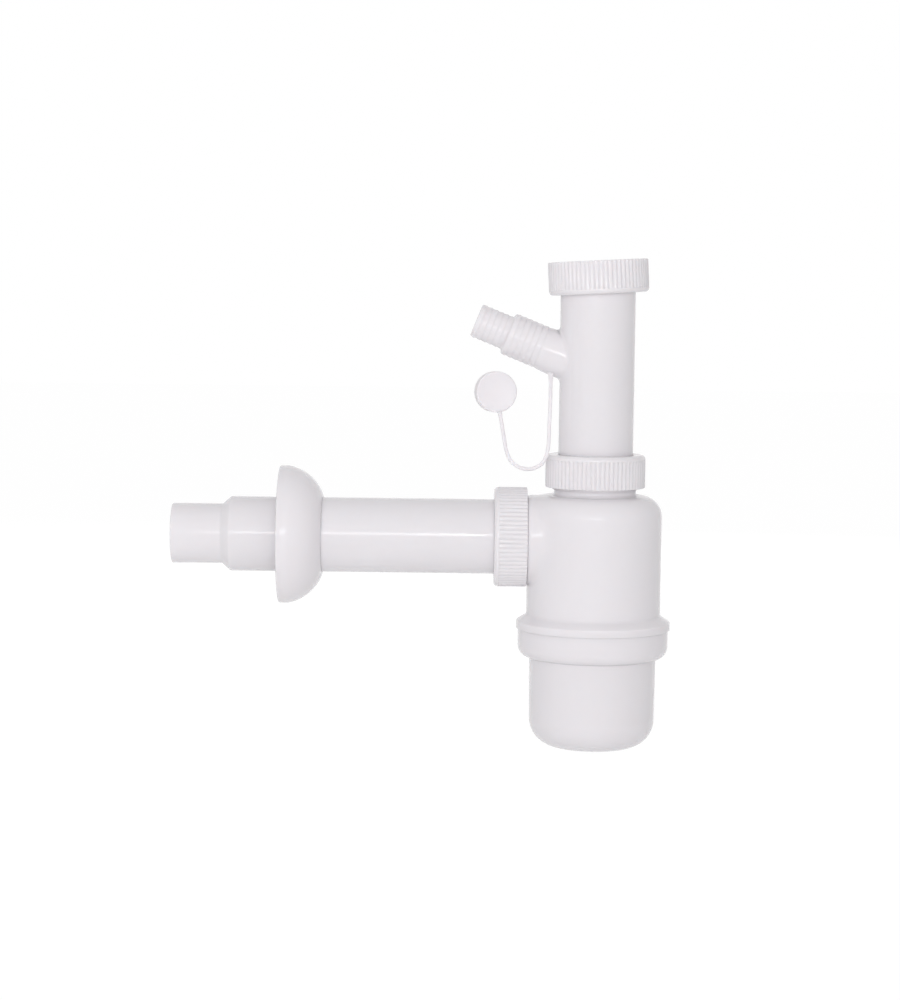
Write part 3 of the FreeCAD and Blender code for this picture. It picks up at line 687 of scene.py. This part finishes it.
# %% Join the branch and bore it
CLEAR_DEPTH, TAIL_CLEAR_LOW, TAIL_CLEAR_HIGH = 0.5, -90.0, -30.0
BRANCH_BORE_START, WIDE_BORE_R, SLIM_BORE_R, MOUTH_R = 4.0, 8.8, 6.4, 7.2
NECK_IN_BACK, NECK_IN_AHEAD, NECK_IN_ROUND = 1.5, 0.9, 1.0
MOUTH_DEPTH, MOUTH_PAST, BRANCH_BORE_SIDES = 0.6, 0.5, 96

clear_bore = lathe("clear_bore", rounded([
    (0, TAIL_CLEAR_LOW), (PIPE_R - PIPE_WALL + CLEAR_DEPTH, TAIL_CLEAR_LOW),
    (PIPE_R - PIPE_WALL + CLEAR_DEPTH, TAIL_CLEAR_HIGH), (0, TAIL_CLEAR_HIGH),
]), UPRIGHT)
branch = combine(branch, clear_bore, "DIFFERENCE")
tail = combine(tail, branch, "UNION")
branch_frame = Matrix.Translation(branch_start) @ branch_way.to_track_quat("Z", "Y").to_matrix().to_4x4()
branch_bore = lathe("branch_bore", rounded([
    (0, BRANCH_BORE_START),
    (WIDE_BORE_R, BRANCH_BORE_START),
    (WIDE_BORE_R, SLIM_START - NECK_IN_BACK, NECK_IN_ROUND),
    (SLIM_BORE_R, SLIM_START + NECK_IN_AHEAD, NECK_IN_ROUND),
    (SLIM_BORE_R, BRANCH_LENGTH - MOUTH_DEPTH),
    (MOUTH_R, BRANCH_LENGTH + MOUTH_PAST),
    (0, BRANCH_LENGTH + MOUTH_PAST),
]), branch_frame, BRANCH_BORE_SIDES)
tail = combine(tail, branch_bore, "DIFFERENCE")
dress(tail, ("tail_pipe", "hose_branch"), white_plastic)

# %% [markdown]
# ## The bottle housing
#
# The housing is one moulding: a neck with a thread, a rounded shoulder, a straight wall that
# flares to a lip, and a threaded skirt under the lip. One closed outline gives all of that in
# one turn. The threads are carved as the rings are made.

# %% Turn the housing
THREAD_STEPS, SKIRT_STEPS = 44, 30
THREAD_CHAMFER, NECK_FILLET, FLARE_ROUND, SEAM_EDGE = 0.8, 1.8, 2.5, 0.25
SKIRT_TOP_GAP, SKIRT_CHAMFER, SKIRT_TIP = 0.3, 0.6, 0.9
SEAT_R, SEAT_DEPTH = SLEEVE_R + 1.9, 5.0
NECK_THREAD_GAP, NECK_THREAD_RISE = 2.7, 1.2
SKIRT_THREAD_GAP, SKIRT_THREAD_RISE = 0.3, 1.0


def housing_carve(radius, height, angle):
    """Cuts the neck's thread and the skirt's thread into their lands."""
    if height > BODY_TOP and abs(radius - THREAD_R) < ON_THREAD:
        fade = socket_fade(height, BODY_TOP + NECK_THREAD_GAP, NECK_THREAD_RISE, NECK_RIM)
        return radius - THREAD_DEPTH * (1 - fade * ridge(height - BODY_TOP, angle, PITCH))
    if height < LIP_TOP and abs(radius - SKIRT_R) < ON_THREAD:
        start = SKIRT_END + SKIRT_THREAD_GAP
        fade = ramp(height, start, start + SKIRT_THREAD_RISE)
        return radius - THREAD_DEPTH * (1 - fade * ridge(height - SKIRT_END, angle, CUP_PITCH))
    return radius


housing = lathe("bottle_housing", rounded([
    (SLEEVE_R, BODY_TOP - BODY_WALL, FINE),
    (SLEEVE_R, NECK_RIM - SEAT_DEPTH),
    (SEAT_R, NECK_RIM, FINE),
    (THREAD_R - THREAD_CHAMFER, NECK_RIM, EASED),
    (THREAD_R, NECK_RIM - THREAD_CHAMFER, 0, THREAD_STEPS),
    (THREAD_R, NECK_RIM - THREAD_LENGTH),
    (SOCKET_R, NECK_RIM - THREAD_LENGTH - THREAD_CHAMFER, SOFT),
    (SOCKET_R, BODY_TOP, NECK_FILLET),
    (BODY_R, BODY_TOP, SHOULDER),
    (BODY_R, LIP_TOP + FLARE, FLARE_ROUND),
    (LIP_R, LIP_TOP, SOFT),
    (LIP_R, LIP_TOP - LIP_THICK, SEAM_EDGE),
    (SKIRT_R, LIP_TOP - LIP_THICK),
    (SKIRT_R, LIP_TOP - LIP_THICK - SKIRT_TOP_GAP, 0, SKIRT_STEPS),
    (SKIRT_R, SKIRT_END + SKIRT_CHAMFER),
    (SKIRT_R - SKIRT_TIP, SKIRT_END, EASED),
    (BODY_BORE_R, SKIRT_END, EASED),
    (BODY_BORE_R, BODY_TOP - BODY_WALL, SHOULDER - BODY_WALL),
]), UPRIGHT, carve=housing_carve)
print(f"housing turned: {len(housing.data.polygons)} faces")

# %% [markdown]
# ### The boss of the outlet
#
# The outlet grows out of the wall and the shoulder at once, as a round boss that fills the
# space up to its nut. Its top stays level with the flat of the shoulder, so its radius and its
# foot change with the angle. A plain cylinder would stand out above the shoulder, or leave a
# dark gap beside the nut.

# %% Grow the outlet's boss
BOSS_R, BOSS_TOP, BOSS_END, BOSS_FOOT, BOSS_ROUND = 25.2, 23.1, OUTLET_NUT_END - 0.1, 4.0, 0.7
BOSS_ROOT, BOSS_TURN_STEPS, TOP_MARGIN = 12.0, 5, 0.1
ROUND_POWER, BLEND_POWER = 12, 4
CLIMB_SHARE, TURN_SHARE, SPREAD_TO_CLIMB = 0.65, 0.3, 3


def soft_least(*values, power=BLEND_POWER):
    """Close to the least of the values, without a kink where another one takes over."""
    return sum(value**-power for value in values)**(-1 / power)


def in_housing(spot):
    """Whether a point is inside the housing's outer shape, near the outlet."""
    reach = BODY_R
    if spot.z > BODY_TOP - SHOULDER:
        drop = spot.z - (BODY_TOP - SHOULDER)
        reach = BODY_R - SHOULDER + math.sqrt(max(SHOULDER**2 - drop**2, 0))
    return math.hypot(spot.x, spot.y) < reach


def boss_profile(angle, leave):
    """The boss behind the outlet nut: round, but level with the housing's flat top."""
    upward = max(math.cos(angle), TINY)
    radius = soft_least(BOSS_R, BOSS_TOP / upward, power=ROUND_POWER)
    wall = leave(radius)
    room = BOSS_END - wall
    climb = soft_least(BOSS_FOOT, CLIMB_SHARE * room)
    top_room = (BODY_TOP - OUTLET_Z) / upward - radius - TOP_MARGIN
    spread = soft_least(BOSS_FOOT, SPREAD_TO_CLIMB * climb, top_room)
    turn_in, turn_up = soft_least(BOSS_ROUND, TURN_SHARE * room), room - climb
    beyond = []
    for step in range(1, BOSS_TURN_STEPS + 1):
        turn = math.radians(90 * step / BOSS_TURN_STEPS)
        spot = (radius - turn_in * (1 - math.cos(turn)), wall + climb + turn_up * math.sin(turn))
        beyond.append(Vector(spot))
    return radius, spread, climb, beyond


boss = sprout(
    "boss", in_housing, Vector((0, 0, OUTLET_Z)), Vector((-1, 0, 0)), Vector((0, 0, 1)),
    BOSS_ROOT, BOSS_END, boss_profile,
)
print(f"boss grown: {len(boss.data.polygons)} faces")

# %% [markdown]
# ### The outlet's thread and bore
#
# A turned solid with a carved thread is joined to the boss, and both to the housing. What they
# would leave inside the chamber and the neck is cut away first, and the outlet's bore last.

# %% Join the outlet and bore it
OUTLET_ROOT, OUTLET_THREAD_GAP, OUTLET_THREAD_RISE = 30.0, 12.2, 1.0
CLEAR_LOW, CLEAR_HIGH, CLEAR_CEILING, NECK_CLEAR = -230.0, -115.0, 1.5, 1.0
OUTLET_BORE_START, PAST_RIM, SEAT_SPREAD = 25.0, 1.0, 0.1


def outlet_carve(radius, height, angle):
    """Cuts the outlet's thread into its land."""
    if abs(radius - THREAD_R) < ON_THREAD:
        fade = socket_fade(height, OUTLET_RIM - OUTLET_THREAD_GAP, OUTLET_THREAD_RISE, OUTLET_RIM)
        return radius - THREAD_DEPTH * (1 - fade * ridge(height, angle, PITCH))
    return radius


outlet_place = at(z=OUTLET_Z) @ SIDEWAYS
thread = lathe("thread", rounded([
    (0, OUTLET_ROOT),
    (SOCKET_R, OUTLET_ROOT),
    (SOCKET_R, OUTLET_RIM - THREAD_LENGTH - THREAD_CHAMFER),
    (THREAD_R, OUTLET_RIM - THREAD_LENGTH, 0, THREAD_STEPS),
    (THREAD_R, OUTLET_RIM - THREAD_CHAMFER),
    (THREAD_R - THREAD_CHAMFER, OUTLET_RIM, EASED),
    (0, OUTLET_RIM),
]), outlet_place, carve=outlet_carve)
socket = combine(boss, thread, "UNION")
clear_cavity = lathe("clear_cavity", rounded([
    (0, CLEAR_LOW),
    (BODY_BORE_R + CLEAR_DEPTH, CLEAR_LOW),
    (BODY_BORE_R + CLEAR_DEPTH, BODY_TOP - CLEAR_CEILING, SHOULDER - BODY_WALL + CLEAR_DEPTH),
    (SLEEVE_R + NECK_CLEAR, BODY_TOP - CLEAR_CEILING),
    (SLEEVE_R + NECK_CLEAR, CLEAR_HIGH),
    (0, CLEAR_HIGH),
]), UPRIGHT)
socket = combine(socket, clear_cavity, "DIFFERENCE")
housing = combine(housing, socket, "UNION")
outlet_bore = lathe("outlet_bore", rounded([
    (0, OUTLET_BORE_START),
    (SLEEVE_R, OUTLET_BORE_START),
    (SLEEVE_R, OUTLET_RIM - SEAT_DEPTH),
    (SEAT_R, OUTLET_RIM),
    (SEAT_R + SEAT_SPREAD, OUTLET_RIM + PAST_RIM),
    (0, OUTLET_RIM + PAST_RIM),
]), outlet_place)
housing = combine(housing, outlet_bore, "DIFFERENCE")
dress(housing, "trap_body", white_plastic)

# %% [markdown]
# ### The dip tube
#
# Inside the housing, a tube dips down into the cup and keeps the water seal. It never shows as
# one surface with the housing, so it stays a piece of its own, and needs no Boolean.

# %% Make the dip tube
DIP_LENGTH = 98.0

dip = lathe("dip_tube_inside", rounded([
    (SLEEVE_R, BODY_TOP - DIP_LENGTH, SOFT),
    (SLEEVE_R, BODY_TOP - BODY_WALL),
    (SOCKET_R, BODY_TOP - BODY_WALL),
    (SOCKET_R, BODY_TOP - DIP_LENGTH, SOFT),
]), UPRIGHT)
dress(dip, "dip_tube", white_plastic)

# %% [markdown]
# ## The cup
#
# The cup collects what would block the pipe, and unscrews by its smooth collar. It is a bowl
# with a round foot. The thread inside the collar fits the housing's skirt, and a small round
# dimple under the bowl is where the plastic was fed into the mould.

# %% Make the cup
CUP_TAPER, FOOT_ROUND, LEDGE_DROP = 0.5, 15.0, 2.4
CUP_FOOT_R, LEDGE = CUP_R - CUP_TAPER, SKIRT_END - LEDGE_DROP
COLLAR_STEP, COLLAR_STEP_EDGE = 0.6, 0.1
CUP_THREAD_LOW, CUP_THREAD_LOW_RISE = LEDGE + 2.6, 1.0
CUP_THREAD_HIGH, CUP_THREAD_HIGH_RISE = CUP_TOP - 0.4, 1.2
FEED_R, FEED_DEPTH, FEED_SLOPE = 2.2, 0.4, 0.4


def cup_carve(radius, height, angle):
    """Cuts the thread that takes the housing's skirt."""
    if abs(radius - CUP_BORE_R) < ON_THREAD:
        fade = ramp(height, CUP_THREAD_LOW, CUP_THREAD_LOW + CUP_THREAD_LOW_RISE)
        fade *= ramp(height, CUP_THREAD_HIGH, CUP_THREAD_HIGH - CUP_THREAD_HIGH_RISE)
        return radius - CUP_THREAD_DEPTH * fade * (1 - ridge(height - SKIRT_END, angle, CUP_PITCH))
    return radius


cup = lathe("trap_cup", rounded([
    (CUP_BORE_R, CUP_TOP, CRISP),
    (COLLAR_R - COLLAR_STEP, CUP_TOP),
    (COLLAR_R - COLLAR_STEP, CUP_RIM, COLLAR_STEP_EDGE),
    (COLLAR_R, CUP_RIM, SEAM_EDGE),
    (COLLAR_R, COLLAR_END, COLLAR_BEAD),
    (CUP_R, COLLAR_END, SOFT),
    (CUP_FOOT_R, CUP_BOTTOM, FOOT_ROUND),
    (FEED_R + FEED_SLOPE, CUP_BOTTOM, CRISP),
    (FEED_R, CUP_BOTTOM + FEED_DEPTH, CRISP),
    (0, CUP_BOTTOM + FEED_DEPTH),
    (0, CUP_BOTTOM + CUP_WALL),
    (CUP_FOOT_R - CUP_WALL, CUP_BOTTOM + CUP_WALL, FOOT_ROUND - CUP_WALL),
    (CUP_R - CUP_WALL, COLLAR_END),
    (CUP_R - CUP_WALL, LEDGE, EASED),
    (CUP_BORE_R, LEDGE, 0, THREAD_STEPS),
]), UPRIGHT, carve=cup_carve)
dress(cup, "cup", white_plastic)

# %% [markdown]
# ## The outlet pipe
#
# The outlet pipe narrows from 40 mm to 32 mm by a short cone, so that it fits a smaller
# socket in the wall. Both ends are open, so its outline is the whole wall.

# %% Make the outlet pipe
SPIGOT_R, CONE_START, CONE_END, PIPE_START, PIPE_END = 16.0, 195.0, 199.5, 30.0, 226.4
CONE_ROUND, CONE_INNER_ROUND = 1.6, 1.0

outlet = lathe("reducing_pipe", rounded([
    (PIPE_R - PIPE_WALL, PIPE_START, SOFT),
    (PIPE_R, PIPE_START, BLUNT),
    (PIPE_R, CONE_START, CONE_ROUND),
    (SPIGOT_R, CONE_END, CONE_ROUND),
    (SPIGOT_R, PIPE_END, BLUNT),
    (SPIGOT_R - PIPE_WALL, PIPE_END, SOFT),
    (SPIGOT_R - PIPE_WALL, CONE_END, CONE_INNER_ROUND),
    (PIPE_R - PIPE_WALL, CONE_START, CONE_INNER_ROUND),
]), outlet_place)
dress(outlet, "outlet_pipe", white_plastic)

# %% [markdown]
# ## The wall rosette
#
# The rosette is a thin dome that slides along the pipe and hides the hole in the wall. Two
# arcs about nearly the same centre give its wall, so it is as thick at the mouth as at the
# rim. A sleeve inside the mouth guides it on the pipe, and the rim is rolled over. A sphere
# with a Solidify modifier would give the dome too, but neither the sleeve nor the rim.

# %% Make the rosette
ROSE_START, ROSE_END, ROSE_R, ROSE_MOUTH_R, ROSE_RIM = 146.0, 169.0, 36.9, 22.5, 5.0
ROSE_ROUND, ROSE_WALL, ARC_STEPS = 24.0, 1.8, 24
MOUTH_INSET, MOUTH_DROP = 0.6, 0.25
GUIDE_LENGTH, GUIDE_CHAMFER, GUIDE_EDGE = 5.0, 0.3, 0.4
RIM_ROLL = ((0, 0.7), (0.25, 0.2), (0.9, 0), (1.6, 0.2), (ROSE_WALL, 0.7))


def arc(start, end, radius, bulge):
    """Points after start, up to end, on an arc that bulges to one side."""
    start, end = Vector(start), Vector(end)
    half = (end - start) / 2
    side = Vector((-half.y, half.x)).normalized() * bulge
    centre = start + half - side * math.sqrt(radius**2 - half.length_squared)
    spoke = start - centre
    turn = spoke.angle_signed(end - centre)
    return [centre + Matrix.Rotation(-turn * step / ARC_STEPS, 2) @ spoke
            for step in range(1, ARC_STEPS + 1)]


rim_start, guide_end = ROSE_END - ROSE_RIM, ROSE_START + GUIDE_LENGTH
guide_r = SLEEVE_R + ROSE_WALL
mouth_edge = (ROSE_MOUTH_R, ROSE_START + MOUTH_DROP)
dome = [Vector(spot) for spot in (
    (SLEEVE_R, ROSE_START + GUIDE_CHAMFER), (SLEEVE_R + GUIDE_CHAMFER, ROSE_START),
    (ROSE_MOUTH_R - MOUTH_INSET, ROSE_START), mouth_edge,
)]
dome += arc(mouth_edge, (ROSE_R, rim_start), ROSE_ROUND, -1)
dome += [Vector((ROSE_R - inset, ROSE_END - back)) for inset, back in RIM_ROLL]
dome.append(Vector((ROSE_R - ROSE_WALL, rim_start)))
dome += arc((ROSE_R - ROSE_WALL, rim_start), (guide_r, ROSE_START + ROSE_WALL), ROSE_ROUND - ROSE_WALL, 1)
dome += [Vector(spot) for spot in (
    (guide_r, guide_end - GUIDE_CHAMFER), (guide_r - GUIDE_EDGE, guide_end),
    (SLEEVE_R + GUIDE_EDGE, guide_end), (SLEEVE_R, guide_end - GUIDE_CHAMFER),
)]
rosette = lathe("domed_rosette", dome, outlet_place)
dress(rosette, "wall_rosette", white_plastic)

# %% [markdown]
# ## The strap
#
# A soft cap closes the branch while no hose is on it, and a thin strap keeps it from getting
# lost. Strap and cap are one moulding. The strap could be a curve with a bevel, but its width
# has to grow where it meets the branch, so a rounded section is swept along a smooth line.
# The line stands out towards the viewer, where the neck nut passes it at its highest.

# %% Lay the strap's line
STRAP_ROOT = Vector((-24.8, -5.0, -61.4))
STRAP_TILT = math.radians(13)
KNOT_STEPS = 14

strap_frame = Matrix.Translation(STRAP_ROOT) @ Matrix.Rotation(-STRAP_TILT, 4, "X")
strap_knots = [Vector(knot) for knot in (
    (0.0, 0, 2.2), (-0.1, -1.2, -3.0), (-0.4, -4.7, -14.0), (-0.8, -3.6, -26.0), (-1.2, -1.2, -38.5),
    (-3.6, -0.3, -46.3), (-9.0, 0, -50.0), (-15.6, 0, -49.8), (-21.0, 0, -46.0),
    (-23.5, 0.3, -40.0), (-24.9, 1.1, -32.0), (-26.4, 2.1, -23.0), (-27.0, 2.2, -19.4),
)]


def smooth_line(knots):
    """Points of a smooth line through the knots."""
    spots = []
    for index, (start, end) in enumerate(zip(knots, knots[1:])):
        before, after = knots[max(index - 1, 0)], knots[min(index + 2, len(knots) - 1)]
        start_pull, end_pull = (end - before) / 2, (after - start) / 2
        spots += [between(start, start_pull, end, end_pull, step / KNOT_STEPS)
                  for step in range(KNOT_STEPS)]
    return spots + knots[-1:]


line = smooth_line(strap_knots)
print(f"strap line: {len(line)} points through {len(strap_knots)} knots")

# %% [markdown]
# ### The strap's section
#
# The section is a rectangle with very round corners. It is widest at the branch, where it is
# pulled most, and grows a little again at the cap.

# %% Sweep the strap
STRAP_HALF_WIDTH, STRAP_HALF_DEPTH, STRAP_FOLD = 1.0, 1.1, 0.65
ROOT_FLARE, ROOT_REACH, CAP_FLARE, CAP_REACH = 1.3, 1.9, 0.35, 6
DEPTH_SHARE, SQUARENESS, SECTION_STEPS = 0.35, 0.6, 20


def section(spot, way, width, depth):
    """A ring of points round the strap: a rectangle with very round corners."""
    side = way.cross(Vector((0, 1, 0))).normalized()
    layer = []
    for step in range(SECTION_STEPS):
        angle = 2 * math.pi * step / SECTION_STEPS
        cosine, sine = math.cos(angle), math.sin(angle)
        x = math.copysign(abs(cosine) ** SQUARENESS, cosine) * width
        y = math.copysign(abs(sine) ** SQUARENESS, sine) * depth
        layer.append(strap_frame @ (spot + side * x + Vector((0, y, 0))))
    return layer


last = len(line) - 1
layers, travel = [[strap_frame @ line[0]]], 0.0
for index, spot in enumerate(line):
    way = (line[min(index + 1, last)] - line[max(index - 1, 0)]).normalized()
    flare = ROOT_FLARE * math.exp(-travel / ROOT_REACH)
    flare += CAP_FLARE * math.exp(-(last - index) / CAP_REACH)
    layers.append(section(spot, way, STRAP_HALF_WIDTH + flare, STRAP_HALF_DEPTH + DEPTH_SHARE * flare))
    travel += (line[min(index + 1, last)] - spot).length
layers.append([strap_frame @ line[-1]])
strap = solid("cap_strap", layers)
dress(strap, "nozzle_cap", soft_plastic)
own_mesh(strap)
print(f"strap {travel:.1f} mm long")

# %% [markdown]
# ## The cap
#
# The cap hangs beside the branch with its face to the viewer, turned and nodding a little. It
# is a short open pot, and its face is very slightly domed. A flat face would catch the light
# evenly, and look printed rather than moulded.

# %% Make the cap
CAP_R, CAP_WALL, CAP_HEIGHT, CAP_DOME = 10.9, 1.3, 8.5, 3.0
CAP_FACE_EDGE, CAP_SIDES = 0.7, 128
CAP_TURN, CAP_NOD = math.radians(9), math.radians(11)
CAP_CENTRE = Vector((-28.8, 0, -9.1))

cap_frame = (strap_frame @ Matrix.Translation(CAP_CENTRE) @ Matrix.Rotation(CAP_NOD, 4, "X")
             @ Matrix.Rotation(CAP_TURN, 4, "Z") @ Matrix.Rotation(-math.pi / 2, 4, "X"))
# The first corner only slants the face's edge, and the middle of the face takes its place.
pot = rounded([
    (0, CAP_DOME),
    (CAP_R, -CAP_WALL, CAP_FACE_EDGE),
    (CAP_R, CAP_HEIGHT - CAP_WALL, EASED),
    (CAP_R - CAP_WALL, CAP_HEIGHT - CAP_WALL, EASED),
    (CAP_R - CAP_WALL, 0, BLUNT),
])[1:]
cap = lathe("branch_cap", [Vector((0, -CAP_WALL)), *pot, Vector((0, 0))], cap_frame, CAP_SIDES)
dress(cap, "nozzle_cap", soft_plastic)

# %% [markdown]
# ## Lamps
#
# The photograph shows a thin line along each level pipe and a small spot on the shoulder, in
# much soft light. A wide lamp from the front gives the shade, a long thin strip above the
# camera draws the lines, and a small flash puts the spot on the shoulder. A lamp above and one
# behind keep the other sides as light as the front. Only the strip and the flash are mirrored,
# because a wide lamp would wash out the gloss. Lamps and floor are placed in metres, like the
# camera.

# %% Place the lamps


def lamp(name, place, target, size, power, mirrored=True):
    """A rectangular lamp that points at its target, with its power in watts."""
    light = bpy.data.lights.new(name, "AREA")
    light.shape, light.energy = "RECTANGLE", power
    light.size, light.size_y = size
    item = bpy.data.objects.new(name, light)
    item.location = place
    item.rotation_euler = (Vector(target) - Vector(place)).to_track_quat("-Z", "Y").to_euler()
    item.visible_glossy = mirrored
    bpy.context.scene.collection.objects.link(item)
    print(f"lamp {name}: {power} W")


HEART = (-0.08, 0, -0.13)
lamp("front_soft", (-0.32, -1.5, 0.14), HEART, size=(0.8, 0.8), power=5.9, mirrored=False)
lamp("strip", (-0.14, -1.34, 0.075), (-0.14, 0, -0.13), size=(0.85, 0.03), power=2.6)
lamp("flash", (0.078, -1.34, 0.066), (0, 0, -0.135), size=(0.12, 0.06), power=0.45)
lamp("top_soft", (-0.4, -0.3, 1.5), HEART, size=(1.1, 1.1), power=2.0, mirrored=False)
lamp("back_soft", (0.1, 1.6, 0.2), HEART, size=(0.5, 0.5), power=6.0, mirrored=False)

# %% [markdown]
# ## World
#
# The ground of the photograph is plain white. A world that bright would flood the trap with
# light, so the rays that see it, straight or in a reflection, find white, and the rays that
# light the trap find a weaker tone.

# %% Light the world
WHITE = (1.0, 1.0, 1.0, 1)
WORLD_TINT, WORLD_LEVEL = (1.0, 0.99, 1.0, 1), 0.55


def seen_or_reflected(nodes, links):
    """1 for rays from the camera, from a reflection or through something clear."""
    path = nodes.new("ShaderNodeLightPath")
    total = path.outputs["Is Camera Ray"]
    for ray in ("Is Glossy Ray", "Is Transmission Ray"):
        both = nodes.new("ShaderNodeMath")
        both.operation, both.use_clamp = "ADD", True
        links.new(total, both.inputs[0])
        links.new(path.outputs[ray], both.inputs[1])
        total = both.outputs["Value"]
    return total


def mix_into(surface, nodes, links, share, plain, bright):
    """Sends a mix of two shaders to the surface: plain where share is 0, bright where it is 1."""
    mix = nodes.new("ShaderNodeMixShader")
    links.new(share, mix.inputs["Fac"])
    links.new(plain, mix.inputs[1])
    links.new(bright, mix.inputs[2])
    links.new(mix.outputs["Shader"], surface)


world = bpy.data.worlds.new("studio")
bpy.context.scene.world = world
world.use_nodes = True
nodes, links = world.node_tree.nodes, world.node_tree.links
lit = nodes["Background"]
lit.inputs["Color"].default_value = WORLD_TINT
lit.inputs["Strength"].default_value = WORLD_LEVEL
shown = nodes.new("ShaderNodeBackground")
shown.inputs["Color"].default_value = WHITE
mix_into(nodes["World Output"].inputs["Surface"], nodes, links, seen_or_reflected(nodes, links),
         lit.outputs["Background"], shown.outputs["Background"])
print(f"the world lights the trap at {WORLD_LEVEL}")

# %% [markdown]
# ## Floor
#
# A trap hangs from its basin, and here it hangs over the floor: the bottle can come down
# 30 mm on its pipe and the cup 10 mm more, so the floor lies lower than both. Plain white
# paper would turn grey under these lamps. It glows a little where the camera sees it, and
# still takes a faint shadow.

# %% Lay the floor
FLOOR_GAP, FLOOR_REACH = 0.045, 6
PAPER_TONE, PAPER_ROUGHNESS = (0.9, 0.9, 0.9, 1), 0.9
GLOW_LEVEL, GLOW_SHARE = 1.045, 0.9

floor_z = cad_low.z - FLOOR_GAP
corners = [(x * FLOOR_REACH, y * FLOOR_REACH, floor_z)
           for x, y in ((-1, -1), (1, -1), (1, 1), (-1, 1))]
floor_mesh = bpy.data.meshes.new("floor")
floor_mesh.from_pydata(corners, [], [(0, 1, 2, 3)])
floor = bpy.data.objects.new("floor", floor_mesh)
bpy.context.scene.collection.objects.link(floor)

paper = bpy.data.materials.new("white_paper")
paper.use_nodes = True
nodes, links = paper.node_tree.nodes, paper.node_tree.links
matt = nodes["Principled BSDF"]
matt.inputs["Base Color"].default_value = PAPER_TONE
matt.inputs["Roughness"].default_value = PAPER_ROUGHNESS
glow = nodes.new("ShaderNodeEmission")
glow.inputs["Color"].default_value = WHITE
glow.inputs["Strength"].default_value = GLOW_LEVEL
share = nodes.new("ShaderNodeMath")
share.operation = "MULTIPLY"
share.inputs[1].default_value = GLOW_SHARE
links.new(seen_or_reflected(nodes, links), share.inputs[0])
mix_into(nodes["Material Output"].inputs["Surface"], nodes, links, share.outputs["Value"],
         matt.outputs["BSDF"], glow.outputs["Emission"])
floor.data.materials.append(paper)
bpy.context.scene.view_settings.view_transform = "Standard"
print(f"floor {FLOOR_GAP / MM:.0f} mm under the cup")
